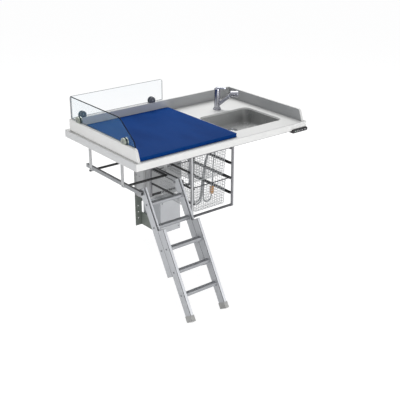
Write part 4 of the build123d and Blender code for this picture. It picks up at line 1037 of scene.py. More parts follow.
def eased(corners: Sequence[Point], bends: Sequence[float], steps: int = 6) -> list:
    """Straight runs between corners, with each inner corner eased.

    Args:
        corners: Corners, as pairs or triples.
        bends: For each inner corner, how far from it the curve starts.
        steps: Points on each curve, less one.

    Returns:
        Points of the line, as vectors.
    """
    points = [Vector(corners[0])]
    for before, here, after, bend in zip(corners, corners[1:], corners[2:], bends):
        corner = Vector(here)
        start = corner + (Vector(before) - corner).normalized() * bend
        end = corner + (Vector(after) - corner).normalized() * bend
        for step in range(steps + 1):
            share = step / steps
            points.append(
                start * (1 - share) ** 2 + corner * (2 * share * (1 - share)) + end * share ** 2)
    return points + [Vector(corners[-1])]


def rounded_loop(low: Vector, high: Vector, radius: float, height: float) -> list:
    """Closed level loop of points round a rectangle with rounded corners.

    Args:
        low: Corner with the smallest x and y.
        high: Corner with the largest x and y.
        radius: Radius of the corners.
        height: Height of the loop.

    Returns:
        Its points.
    """
    points = []
    for x, y, start in (
            (high.x - radius, high.y - radius, 0.0), (low.x + radius, high.y - radius, 90.0),
            (low.x + radius, low.y + radius, 180.0), (high.x - radius, low.y + radius, 270.0)):
        for step in range(CORNER_STEPS + 1):
            angle = math.radians(start + 90.0 * step / CORNER_STEPS)
            points.append(Vector((
                x + radius * math.cos(angle), y + radius * math.sin(angle), height)))
    return points


def hexagon(centre: Vector, direction: Vector, across: float) -> list:
    """Corners of a hexagon that is square to a direction.

    Args:
        centre: Its middle.
        direction: Direction that it faces.
        across: Width across its flats, in metres.

    Returns:
        The six corners.
    """
    turn = direction.to_track_quat("Z", "Y").to_matrix()
    radius = across / math.sqrt(3.0)
    corners = []
    for side in range(6):
        angle = math.pi * side / 3
        corners.append(
            centre + turn @ Vector((radius * math.cos(angle), radius * math.sin(angle), 0.0)))
    return corners


def pan_screw(name: str, place: Vector, way: Vector, radius: float) -> Form:
    """Round-headed screw with a round socket.

    Args:
        name: Name of the piece.
        place: Middle of the face it sits on.
        way: Direction in which the head stands out.
        radius: Head's radius in millimetres.

    Returns:
        The form.
    """
    size = radius * MM
    return Form(name).turned(
        place - way * 0.0003, way, [(size * rise, size * out) for rise, out in PAN_HEAD], 24)


def spline_points(name: str, control: Sequence[Vector], resolution: int = 10) -> list:
    """Points along the smooth line of a route.

    Args:
        name: Name of the curve that is made for the measure and removed again.
        control: Control points of the spline.
        resolution: Steps per control point.

    Returns:
        Points along the NURBS spline.
    """
    data = bpy.data.curves.new(name, "CURVE")
    data.dimensions = "3D"
    data.resolution_u = resolution
    spline = data.splines.new("NURBS")
    spline.points.add(len(control) - 1)
    for point, place in zip(spline.points, control):
        point.co = (*place, 1.0)
    spline.order_u = 3
    spline.use_endpoint_u = True
    holder = bpy.data.objects.new(name, data)
    bpy.context.scene.collection.objects.link(holder)
    graph = bpy.context.evaluated_depsgraph_get()
    mesh = bpy.data.meshes.new_from_object(holder.evaluated_get(graph))
    points = [vertex.co.copy() for vertex in mesh.vertices]
    bpy.data.objects.remove(holder)
    bpy.data.curves.remove(data)
    bpy.data.meshes.remove(mesh)
    return points


@dataclass
class Maker:
    """What every sub-assembly needs: the frame, the finishes and a tally of pieces."""

    frame: dict
    finishes: Finishes
    count: int = 0

    def paint(self, finish: object, *nodes: str) -> None:
        """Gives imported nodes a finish.

        Args:
            finish: The finish.
            nodes: Names of the nodes.
        """
        material = self.finishes.get(finish)
        for node in nodes:
            shown = self.frame["nodes"][node]
            for slot in shown.material_slots:
                slot.material = material

    def add(
        self, form: Form, finish: object, body: Body, slot: Optional[str] = None,
        crease: float = PLAIN, stands_for: Iterable[str] = (),
    ) -> bpy.types.Object:
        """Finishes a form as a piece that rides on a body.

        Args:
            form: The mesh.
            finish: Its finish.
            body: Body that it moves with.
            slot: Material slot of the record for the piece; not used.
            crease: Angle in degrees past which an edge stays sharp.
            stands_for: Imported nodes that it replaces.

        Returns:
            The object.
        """
        made = form.done(self.finishes.get(finish), crease)
        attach(made, body.value)
        nodes = list(stands_for)
        if nodes:
            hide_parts(*nodes)
        self.count += 1
        LOG.info("piece %s on %s", made.name, body.value)
        return made


# Sub-assemblies


@dataclass(frozen=True)
class SoftBox:
    """Rectangular area light: its middle, its width and height, and its power in watts."""

    name: str
    place: tuple
    size: tuple
    power: float


@dataclass
class Studio:
    """Camera, lights, floor and background."""

    camera_place: tuple = (-3.0971, -4.5103, 2.2049)
    yaw: float = 38.158
    pitch: float = 23.062
    lens: float = 71.57
    sensor: float = 36.0
    sight: float = 60.0
    floor_height: float = -0.373
    floor_half: float = 14.0
    sky: float = 0.3
    sky_colour: tuple = (0.96, 0.97, 1.0, 1.0)
    white: float = 1.05
    white_colour: tuple = (1.0, 1.0, 1.0, 1.0)
    aim: tuple = (0.0, -0.4, 0.3)
    lights: tuple = (
        SoftBox("top", (1.3, 1.1, 3.6), (2.6, 2.6), 120.0),
        SoftBox("low_front", (0.5, -4.4, 0.0), (4.0, 0.7), 62.0),
        SoftBox("fill", (-1.7, -3.4, 2.4), (3.0, 1.2), 15.0),
        SoftBox("low_left", (-4.2, -0.9, 0.05), (3.6, 0.7), 50.0))

    def build(self, finishes: Finishes) -> None:
        """Makes the whole studio.

        Args:
            finishes: Finishes, for the floor.
        """
        self._camera()
        self._floor(finishes)
        for box in self.lights:
            self._light(box)
        self._world()
        bpy.context.scene.view_settings.view_transform = "Standard"

    def _camera(self) -> None:
        """Camera fitted to the photograph."""
        data = bpy.data.cameras.new("photo_camera")
        data.lens = self.lens
        data.sensor_width = self.sensor
        data.clip_end = self.sight
        camera = bpy.data.objects.new("photo_camera", data)
        camera.location = self.camera_place
        camera.rotation_euler = (
            math.radians(90.0 - self.pitch), 0.0, math.radians(-self.yaw))
        bpy.context.scene.collection.objects.link(camera)
        bpy.context.scene.camera = camera

    def _floor(self, finishes: Finishes) -> None:
        """Wide pale floor.

        Args:
            finishes: Finishes, for its material.
        """
        half = self.floor_half
        form = Form("studio_floor")
        form.mesh.faces.new([
            form.mesh.verts.new((x * half, y * half, 0.0))
            for x, y in ((-1, -1), (1, -1), (1, 1), (-1, 1))])
        floor = form.done(finishes.get(Ground()))
        floor.location.z = self.floor_height

    def _light(self, box: SoftBox) -> None:
        """Adds a soft box that looks at the table.

        Args:
            box: The soft box.
        """
        data = bpy.data.lights.new(box.name, "AREA")
        data.shape = "RECTANGLE"
        data.size, data.size_y = box.size
        data.energy = box.power
        light = bpy.data.objects.new(box.name, data)
        light.location = box.place
        look = Vector(self.aim) - Vector(box.place)
        light.rotation_euler = look.to_track_quat("-Z", "Y").to_euler()
        bpy.context.scene.collection.objects.link(light)

    def _world(self) -> None:
        """White background for the camera, and plain soft light for everything else."""
        world = bpy.data.worlds.new("studio_sky")
        tree = Shader(world)
        soft = tree.node(
            "ShaderNodeBackground", {}, {"Color": self.sky_colour, "Strength": self.sky})
        white = tree.node(
            "ShaderNodeBackground", {}, {"Color": self.white_colour, "Strength": self.white})
        mixed = tree.node("ShaderNodeMixShader", {}, {0: seen_share(tree, 1.0), 1: soft, 2: white})
        tree.node("ShaderNodeOutputWorld", {}, {"Surface": mixed})
        bpy.context.scene.world = world


@dataclass
class Hose:
    """One braided hose with crimped sleeves at both ends."""

    name: str
    route: list
    with_pieces: tuple = ()
    radius: float = 5.0
    sides: int = 14
    sleeve: float = 22.0
    sleeve_wall: float = 0.9
    bands: int = 5
    nut_across: float = 13.6
    nut_length: float = 6.5
    nut_bevel: float = 0.4

    def build(self, maker: Maker) -> None:
        """Makes the tube and its end sleeves.

        Args:
            maker: Frame and finishes.
        """
        control = [at(*point) for point in self.route]
        path = spline_points(self.name + "_line", control)
        form = Form(self.name + "_braided").tube(path, self.radius * MM, self.sides)
        tube = maker.add(
            form, Finishes.HOSE, Body.TABLE, "hose_grey", stands_for=[self.name])
        sleeves = [
            self._sleeve(maker, 1, path[0], path[1]), self._sleeve(maker, 2, path[-1], path[-2])]
        2 * self.radius * MM

    def _sleeve(self, maker: Maker, number: int, end: Vector, inner: Vector) -> bpy.types.Object:
        """Adds a crimped sleeve with a hexagonal nut at one end.

        Args:
            maker: Frame and finishes.
            number: Number of the end.
            end: End of the hose.
            inner: Next place on the hose.

        Returns:
            The sleeve.
        """
        way = (inner - end).normalized()
        radius = (self.radius + self.sleeve_wall) * MM
        step = self.sleeve * MM / (2 * self.bands + 1)
        profile = [(0.0002, 0.0), (0.0002, radius * 0.96)]
        for band in range(self.bands):
            base = 0.0006 + band * 2 * step
            profile += [(base, radius), (base + step, radius), (base + 1.3 * step, radius * 0.9),
                        (base + 1.7 * step, radius * 0.9)]
        profile += [(self.sleeve * MM, radius * 0.94), (self.sleeve * MM, 0.0)]
        form = Form(f"{self.name}_sleeve_{number}").turned(end, way, profile, 20)
        form.prism(
            hexagon(end + way * 0.0004, way, self.nut_across * MM), way * self.nut_length * MM,
            self.nut_bevel * MM)
        return maker.add(form, Finishes.SCREW, Body.TABLE, "hose_grey", CRISP)


@dataclass
class Plumbing:
    """The hoses under the tap, the valve block and the drain."""

    spray_route: list = field(default_factory=lambda: [
        (1097.5, 583.5, -62), (1097.5, 583.5, -138), (1080, 581, -215), (1050, 579, -300),
        (1038, 582, -618), (1015, 584, -641), (982, 584, -641), (958.5, 582, -617),
        (957, 580, -540), (963, 578, -440), (980, 578, -340), (1005, 579, -245),
        (1044, 582, -166), (1082.5, 583.5, -126), (1082.5, 583.5, -62)])
    hot_route: list = field(default_factory=lambda: [
        (1082.5, 598.5, -62), (1082.5, 598.5, -112), (1060, 596, -160), (1014, 594, -238),
        (983, 593, -335), (966, 593, -440), (957, 594, -545), (949, 595, -626), (928, 596, -647),
        (899, 596, -647), (878, 594, -625), (875, 592, -545), (874, 590, -450),
        (876, 588.5, -350), (880, 588, -250), (884, 589, -150), (884, 589, -52)])
    cold_route: list = field(default_factory=lambda: [
        (1097.5, 598.5, -62), (1097.5, 598.5, -118), (1074, 604, -172), (1030, 608, -244),
        (994, 608, -335), (973, 607, -435), (962, 607.5, -535), (954, 609, -612),
        (932, 610.5, -634), (903, 611, -634), (882, 610, -612), (878, 608, -535),
        (877, 606, -445), (879, 604.5, -350), (882, 604, -250), (884, 605, -150), (884, 605, -52)])
    plug_knob: tuple = (
        (0.0, 0.0), (0.0, 0.0052), (0.0012, 0.0042), (0.0042, 0.0042), (0.0056, 0.0066),
        (0.0076, 0.0068), (0.0088, 0.0058), (0.0092, 0.0))
    knob_depth: float = 0.4
    seal_radius: float = 37.4
    seal_height: float = -58.0
    seal_bead: float = 0.9
    seal_steps: int = 48
    connector_place: tuple = (884.0, 576.0, -30.0)
    connector_knob: tuple = (
        (0.0, 0.0), (0.0, 0.0045), (0.006, 0.0045), (0.007, 0.0098), (0.0148, 0.0104),
        (0.016, 0.0094), (0.016, 0.0))
    weight_screw: tuple = ((0.0, 0.0), (0.0, 0.0036), (0.0016, 0.0034), (0.0016, 0.0))
    weight_reach: float = 12.0
    weight_depth: float = 0.6

    def build(self, maker: Maker) -> None:
        """Makes the hoses and dresses the fittings.

        Args:
            maker: Frame and finishes.
        """
        Hose("spray_hose", self.spray_route, ("hose_weight",)).build(maker)
        Hose("supply_hose_hot", self.hot_route).build(maker)
        Hose("supply_hose_cold", self.cold_route).build(maker)
        maker.paint(Finishes.BRASS, "hose_weight")
        maker.paint(Finishes.VALVE, "hose_connector")
        maker.paint(Finishes.TRAP, "drain_trap")
        maker.paint(Finishes.DRAIN, "drain_fitting", "drain_plug")
        self._dress_drain(maker)
        valve = Form("connector_knob").turned(
            at(*self.connector_place), FRONT, self.connector_knob, 12)
        maker.add(valve, Finishes.DARK_CAP, Body.TABLE, "connector_dark", CRISP)
        self._weight_screws(maker)

    def _dress_drain(self, maker: Maker) -> None:
        """Adds the plug's knob and the seal round the drain.

        Args:
            maker: Frame and finishes.
        """
        low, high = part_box("drain_plug")
        top = (low + high) / 2
        top.z = high.z
        knob = Form("plug_knob").turned(top - UP * (self.knob_depth * MM), UP, self.plug_knob, 32)
        # The plug's knob takes the lit copy of the chrome, a painted highlight.
        maker.add(knob, Finishes.CHROME_LIT, Body.PLUG, "tap_chrome", CRISP)
        radius = self.seal_radius * MM
        height = at(0.0, 0.0, self.seal_height).z
        ring = []
        for step in range(self.seal_steps):
            angle = 2 * math.pi * step / self.seal_steps
            ring.append(Vector((
                top.x + radius * math.cos(angle), top.y + radius * math.sin(angle), height)))
        seal = Form("drain_seal").tube(ring, self.seal_bead * MM, 8, closed=True)
        maker.add(seal, Finishes.GASKET, Body.TABLE, "tub_white", SOFT)

    def _weight_screws(self, maker: Maker) -> None:
        """Adds the screws on the front of the hose weight.

        Args:
            maker: Frame and finishes.
        """
        low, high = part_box("hose_weight")
        middle = (low + high) / 2
        screws = Form("weight_screws")
        for side in (-1.0, 1.0):
            height = middle.z + side * self.weight_reach * MM
            place = Vector((middle.x, low.y + self.weight_depth * MM, height))
            screws.turned(place, FRONT, self.weight_screw, 20)
        maker.add(screws, Finishes.SCREW, Body.TABLE, "hose_grey", CRISP)


@dataclass
class Mattress:
    """Firm foam pad in a coated cover, with welded seams round its top and bottom edges."""

    crown: float = 2.5
    crown_share: float = 0.8
    edge: float = 5.0
    seam: float = 1.1
    seam_inset: float = 0.9
    seam_corner: float = 13.5
    seam_from_top: float = 5.2
    seam_from_foot: float = 3.2
    corner_steps: int = 5
    side_steps: int = 22
    roll_steps: int = 5
    top_steps: int = 12
    # Metres from here on. The levels are heights over the foot of a pad of level_height, and
    # insets from the solid.
    levels: tuple = (
        (0.0, 0.0022), (0.0010, 0.0006), (0.0030, 0.0), (0.0080, 0.0011), (0.0130, 0.0018),
        (0.0180, 0.0012), (0.0215, 0.0002))
    level_height: float = 0.0245
    roll_inset: float = 0.0002
    top_inset: float = 0.0052
    corner: float = 0.014
    least_corner: float = 0.0005
    dent: float = 0.00011
    dent_count: int = 5
    dent_waves: tuple = (6.0, 14.0)
    dent_starts: tuple = (0.0, 6.28)
    flat: float = 1e-6

    def build(self, maker: Maker) -> None:
        """Makes the pad in the space of its solid.

        Args:
            maker: Frame and finishes.
        """
        low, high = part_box("mattress")
        pad = self._pad(low, high)
        made = maker.add(
            pad, Finishes.BLUE, Body.TABLE, "mattress_blue", SOFT, stands_for=["mattress"])
        for name, height in (("mattress_seam_top", high.z - self.seam_from_top * MM),
                             ("mattress_seam_foot", low.z + self.seam_from_foot * MM)):
            outline = self._outline(low, high, self.seam_inset * MM, self.seam_corner * MM)
            seam = Form(name).tube(
                [Vector((x, y, height)) for x, y in outline], self.seam * MM, 8, closed=True)
            maker.add(seam, Finishes.BLUE, Body.TABLE, "mattress_blue", SOFT)

    def _outline(self, low: Vector, high: Vector, inset: float, radius: float) -> list:
        """Rounded rectangle in plan, with the same number of points always.

        Args:
            low: Lowest corner of the box round it.
            high: Highest corner of that box.
            inset: Distance inside the box, in metres.
            radius: Radius of its corners, in metres.

        Returns:
            Its points, as (x, y) pairs.
        """
        corners = (
            (high.x - inset - radius, high.y - inset - radius, 0.0),
            (low.x + inset + radius, high.y - inset - radius, 90.0),
            (low.x + inset + radius, low.y + inset + radius, 180.0),
            (high.x - inset - radius, low.y + inset + radius, 270.0))
        points = []
        for index, (x, y, start) in enumerate(corners):
            for step in range(self.corner_steps + 1):
                angle = math.radians(start + 90.0 * step / self.corner_steps)
                points.append((x + radius * math.cos(angle), y + radius * math.sin(angle)))
            last_x, last_y = points[-1]
            next_x, next_y, start = corners[(index + 1) % 4]
            angle = math.radians(start)
            across = next_x + radius * math.cos(angle) - last_x
            along = next_y + radius * math.sin(angle) - last_y
            for step in range(1, self.side_steps):
                share = step / self.side_steps
                points.append((last_x + across * share, last_y + along * share))
        return points

    def _rings(self, low: Vector, high: Vector, top: float) -> list:
        """Rings of the pad: drawn-in sides, a rolled edge and the top.

        Args:
            low: Lowest corner of the solid.
            high: Highest corner of the solid.
            top: Height of the top without its crown.

        Returns:
            Height and inset of each ring, from the foot to the middle of the top.
        """
        rings = [(low.z + rise * (top - low.z) / self.level_height, inset)
                 for rise, inset in self.levels]
        for step in range(1, self.roll_steps + 1):
            angle = math.radians(90.0 * step / self.roll_steps)
            rings.append((top - self.edge * MM * 0.5 * (1 - math.sin(angle)),
                          self.roll_inset + self.edge * MM * (1 - math.cos(angle))))
        reach = min(high.x - low.x, high.y - low.y) / 2 - self.top_inset
        for step in range(1, self.top_steps + 1):
            rings.append((top, self.top_inset + step / (self.top_steps + 0.5) * reach))
        return rings

    def _pad(self, low: Vector, high: Vector) -> Form:
        """Body of the pad, with a crowned top that has soft dents.

        Args:
            low: Lowest corner of its solid.
            high: Highest corner of its solid.

        Returns:
            The form.
        """
        form = Form("mattress_pad")
        dice = random.Random(7)
        waves = [
            (dice.uniform(*self.dent_waves), dice.uniform(*self.dent_waves),
             dice.uniform(*self.dent_starts), dice.uniform(*self.dent_starts))
            for _ in range(self.dent_count)]
        top = high.z - self.crown * MM
        middle = (low + high) / 2
        half = (high - low) / 2
        made = []
        for z, inset in self._rings(low, high, top):
            ring = []
            radius = max(self.least_corner, self.corner - inset * 0.5)
            for x, y in self._outline(low, high, inset, radius):
                share_x, share_y = (x - middle.x) / half.x, (y - middle.y) / half.y
                lift = 0.0
                if z >= top - self.flat:
                    lift = self.crown * MM * self.crown_share
                    lift *= (1 - share_x ** 4) * (1 - share_y ** 4)
                    for a, b, c, d in waves:
                        lift += self.dent * math.sin(a * x + c) * math.sin(b * y + d)
                ring.append(form.mesh.verts.new((x, y, z + lift)))
            made.append(ring)
        for first, second in zip(made, made[1:]):
            form.bridge(first, second)
        caps = [form.mesh.faces.new(reversed(made[0])), form.mesh.faces.new(made[-1])]
        bmesh.ops.triangulate(form.mesh, faces=caps)
        return form


@dataclass
class WireBasket:
    """Basket of thin wires on a thicker rim, in the outer form of its solid."""

    node: str
    body: Body
    rim_radius: float = 2.6
    wire_radius: float = 1.1
    ledge_share: float = 1.7
    stay_share: float = 1.4
    pitch: float = 19.0
    shoulder: float = 22.0
    ledge: float = 8.0
    draw: float = 12.0
    corner: float = 16.0
    bend: float = 10.0
    hoop_margin: float = 22.0
    lowest_ring: float = 12.0
    stay_margin: float = 30.0
    stay_pitch: float = 100.0

    def build(self, maker: Maker) -> None:
        """Makes the rim and the mesh.

        Args:
            maker: Frame and finishes.
        """
        low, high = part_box(self.node)
        rim_z = high.z - self.rim_radius * MM
        rim = Form(self.node + "_rim").tube(
            self._loop(low, high, self.rim_radius, rim_z), self.rim_radius * MM, 12, True)
        inner = self.shoulder + self.rim_radius
        ledge = self.wire_radius * self.ledge_share * MM
        rim.tube(self._body_loop(low, high, rim_z, 0.0), ledge, 8, True)
        stay = self.wire_radius * self.stay_share * MM
        margin = self.stay_margin * MM
        for y in self._steps(low.y + margin, high.y - margin, self.stay_pitch):
            for x, side in ((low.x, 1), (high.x, -1)):
                rim.tube(
                    [Vector((x + side * self.rim_radius * MM, y, rim_z)),
                     Vector((x + side * inner * MM, y, rim_z))], stay, 8)
        maker.add(rim, Finishes.RIM_WIRE, self.body, "basket_wire")
        net = Form(self.node + "_mesh")
        self._hoops(net, low, high, rim_z)
        self._rings(net, low, high, rim_z)
        maker.add(net, Finishes.WIRE, self.body, "basket_wire", stands_for=[self.node])

    @staticmethod
    def _steps(start: float, end: float, pitch: float) -> list:
        """Even places from start to end.

        Args:
            start: First place, in metres.
            end: Last place, in metres.
            pitch: Wanted distance between two places, in millimetres.

        Returns:
            The places, in metres.
        """
        count = max(1, round(abs(end - start) / (pitch * MM)))
        return [start + (end - start) * index / count for index in range(count + 1)]

    def _loop(self, low: Vector, high: Vector, inset: float, z: float) -> list:
        """Rounded rectangular loop inside a box's plan.

        Args:
            low: Lowest corner of the box.
            high: Highest corner of the box.
            inset: Distance inside the box, in millimetres.
            z: Height of the loop, in metres.

        Returns:
            The loop's points.
        """
        edge = Vector((inset * MM, inset * MM, 0.0))
        return rounded_loop(low + edge, high - edge, self.corner * MM, z)

    def _body_loop(self, low: Vector, high: Vector, z: float, share: float) -> list:
        """Loop of the tapered body.

        Args:
            low: Lowest corner of the basket's box.
            high: Highest corner of that box.
            z: Height of the loop, in metres.
            share: Share of the way from the rim down to the floor.

        Returns:
            The loop's points.
        """
        across = (self.shoulder + self.draw * share + self.wire_radius) * MM
        deep = (self.ledge + self.draw * share + self.wire_radius) * MM
        edge = Vector((across, deep, 0.0))
        return rounded_loop(low + edge, high - edge, self.corner * MM, z)

    def _hoops(self, net: Form, low: Vector, high: Vector, rim_z: float) -> None:
        """Adds the U-shaped wires over the floor, both ways.

        Args:
            net: Form of the mesh.
            low: Lowest corner of the basket's box.
            high: Highest corner of that box.
            rim_z: Height of the rim's middle.
        """
        wire = self.wire_radius * MM
        floor = low.z + wire
        across = (self.shoulder + self.wire_radius) * MM
        deep = (self.ledge + self.wire_radius) * MM
        draw = self.draw * MM
        bends = (self.bend * MM, self.bend * MM)
        margin = self.hoop_margin * MM
        for y in self._steps(low.y + deep + margin, high.y - deep - margin, self.pitch):
            top = [(low.x + across, rim_z), (low.x + across + draw, floor),
                   (high.x - across - draw, floor), (high.x - across, rim_z)]
            net.tube([Vector((x, y, z)) for x, z in eased(top, bends, 4)], wire, 6)
        for x in self._steps(low.x + across + margin, high.x - across - margin, self.pitch):
            side = [(low.y + deep, rim_z), (low.y + deep + draw, floor + 2 * wire),
                    (high.y - deep - draw, floor + 2 * wire), (high.y - deep, rim_z)]
            net.tube([Vector((x, y, z)) for y, z in eased(side, bends, 4)], wire, 6)

    def _rings(self, net: Form, low: Vector, high: Vector, rim_z: float) -> None:
        """Adds the level wires round the body.

        Args:
            net: Form of the mesh.
            low: Lowest corner of the basket's box.
            high: Highest corner of that box.
            rim_z: Height of the rim's middle.
        """
        for z in self._steps(rim_z, low.z + self.lowest_ring * MM, self.pitch)[1:]:
            share = (rim_z - z) / (rim_z - low.z)
            net.tube(self._body_loop(low, high, z, share), self.wire_radius * MM, 6, True)


@dataclass
class TopDeck:
    """Worktop, tub, glass screens and their clamps."""

    # Painted edge shade of each pane, lighter on the rear pane than on the side pane, as each takes
    # the light.
    screens: tuple = (("rear", srgb(104, 108, 108), 0.5), ("side", srgb(40, 48, 52), 0.62))
    pane_tint: tuple = srgb(140, 206, 232)
    tub_low: tuple = (846.4, 122.4)
    tub_high: tuple = (1291.6, 505.6)
    tub_corner: float = 44.6
    sealant_height: float = 36.3
    sealant_bead: float = 1.3
    edge_outline: tuple = ((50.5, 132), (58, 165), (212, 279), (791, 279))
    edge_bends: tuple = (11.0, 23.1)
    edge_x: float = 29.0
    edge_radius: float = 3.0
    clamps: tuple = ("clamp_rear_left", "clamp_rear_right", "clamp_side_rear", "clamp_side_front")
    screw_height: float = 14.0
    screw_reach: float = 15.0
    screw_depth: float = 0.4
    screw: tuple = (
        (0.0, 0.0), (0.0, 0.0072), (0.0016, 0.0072), (0.0026, 0.0062), (0.0029, 0.0052),
        (0.0029, 0.0036), (0.0012, 0.0033), (0.0012, 0.0))
    seal_reach: float = 4.05
    seal: tuple = ((0.0, 0.0), (0.0, 0.0256), (0.0009, 0.0256), (0.0009, 0.0))
    seal_foot: float = 0.2

    def build(self, maker: Maker) -> None:
        """Paints the mouldings and dresses the screens.

        Args:
            maker: Frame and finishes.
        """
        maker.paint(Finishes.WHITE, "worktop")
        maker.paint(Finishes.TUB, "bath_tub")
        maker.paint(Finishes.FRAME, "table_frame")
        for side, edge, rim in self.screens:
            low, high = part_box("glass_screen_" + side)
            pane = Pane(
                "screen_glass_" + side, self.pane_tint, edge, tuple(low), tuple(high), rim=rim)
            maker.paint(pane, "glass_screen_" + side)
        path = rounded_loop(
            at(*self.tub_low, 0.0), at(*self.tub_high, 0.0), self.tub_corner * MM,
            at(0.0, 0.0, self.sealant_height).z)
        bead = Form("tub_sealant").tube(path, self.sealant_bead * MM, 8, closed=True)
        maker.add(bead, Finishes.SEALANT, Body.TABLE, "tub_white", SOFT)
        # A dark round strip along the side pane's front edge stands in for the dark line that the
        # glass edge shows in the light.
        outline = eased(self.edge_outline, self.edge_bends, 10)
        edge = Form("side_screen_edge").tube(
            [at(self.edge_x, y, z) for y, z in outline], self.edge_radius * MM, 12)
        maker.add(edge, Finishes.GASKET, Body.TABLE, "screen_glass", SOFT)
        # The rear clamps take the shaded copy of the clamp finish and the side clamps the lit copy.
        maker.paint(Finishes.CLAMP_SHADED, *self.clamps[:2])
        maker.paint(Finishes.CLAMP_LIT, *self.clamps[2:])
        for node in self.clamps:
            self._dress_clamp(maker, node)

    def _dress_clamp(self, maker: Maker, node: str) -> None:
        """Adds the socket screws on both faces of a clamp and the seals beside the glass.

        Args:
            maker: Frame and finishes.
            node: Name of the clamp.
        """
        low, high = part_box(node)
        across_x = (high.x - low.x) < (high.y - low.y)
        way = RIGHT if across_x else -FRONT
        centre = (low + high) / 2
        centre.z = low.z + self.screw_height * MM
        for number, sign in ((1, 1.0), (2, -1.0)):
            face = centre + way * (sign * self.screw_reach * MM)
            screw = Form(f"{node}_screw_{number}").turned(
                face - way * (sign * self.screw_depth * MM), way * sign, self.screw, 24)
            maker.add(screw, Finishes.SCREW, Body.TABLE, "clamp_metal", CRISP)
        seal = Form(f"{node}_seal")
        for sign in (1.0, -1.0):
            seal.turned(centre + way * (sign * self.seal_reach * MM), way * sign, self.seal, 40)
        bmesh.ops.bisect_plane(
            seal.mesh, geom=seal.mesh.verts[:] + seal.mesh.edges[:] + seal.mesh.faces[:],
            plane_co=(0.0, 0.0, low.z + self.seal_foot * MM), plane_no=UP, clear_inner=True)
        maker.add(seal, Finishes.GASKET, Body.TABLE, "clamp_metal")


@dataclass
class Lift:
    """Column, covers and wall frame."""

    # Groups of screws: places along the wall, into it and up, the way out and the head's radius.
    screws: tuple = (
        ((562, 838), (715,), (-262, -395, -530), FRONT, 4.5),
        ((629, 771), (640,), (-585, -796), FRONT, 4.5),
        ((540,), (791, 826), (-397,), LEFT, 4.5),
        ((540,), (735, 838), (-255, -540), LEFT, 3.5))
    # Bars of the collar in plan: low x, high x, low y and high y.
    collar: tuple = (
        (634, 766, 744, 749.2), (634, 766, 810.8, 816), (634, 639.2, 749.2, 810.8),
        (760.8, 766, 749.2, 810.8))
    collar_span: tuple = (-230.2, -224.0)
    collar_bevel: float = 0.6

    def build(self, maker: Maker) -> None:
        """Paints the lift and adds its screws.

        Args:
            maker: Frame and finishes.
        """
        maker.paint(Finishes.COLUMN, "lift_inner_column")
        maker.paint(Finishes.LIFT, "lift_outer_column", "lift_housing")
        maker.paint(Finishes.COVER, "column_cover")
        maker.paint(Finishes.MOTOR, "lift_actuator")
        maker.paint(Finishes.WALL, "wall_frame")
        places = [
            (at(x, y, z), way, radius) for xs, ys, zs, way, radius in self.screws
            for y in ys for z in zs for x in xs]
        for number, (place, way, radius) in enumerate(places, 1):
            maker.add(
                pan_screw(f"lift_screw_{number}", place, way, radius),
                Finishes.SCREW, Body.WALL, "lift_grey", CRISP)
        foot, head = self.collar_span
        collar = Form("column_collar")
        for x0, x1, y0, y1 in self.collar:
            collar.block(at(x0, y0, foot), at(x1, y1, head), self.collar_bevel * MM)
        maker.add(collar, Finishes.DARK_CAP, Body.WALL, "lift_grey")


@dataclass(frozen=True)
class RailEnds:
    """Fittings of one rail: ends of its plugs, the way out and the place of its nut."""

    side: str
    low: float
    high: float
    way: Vector
    nut: float


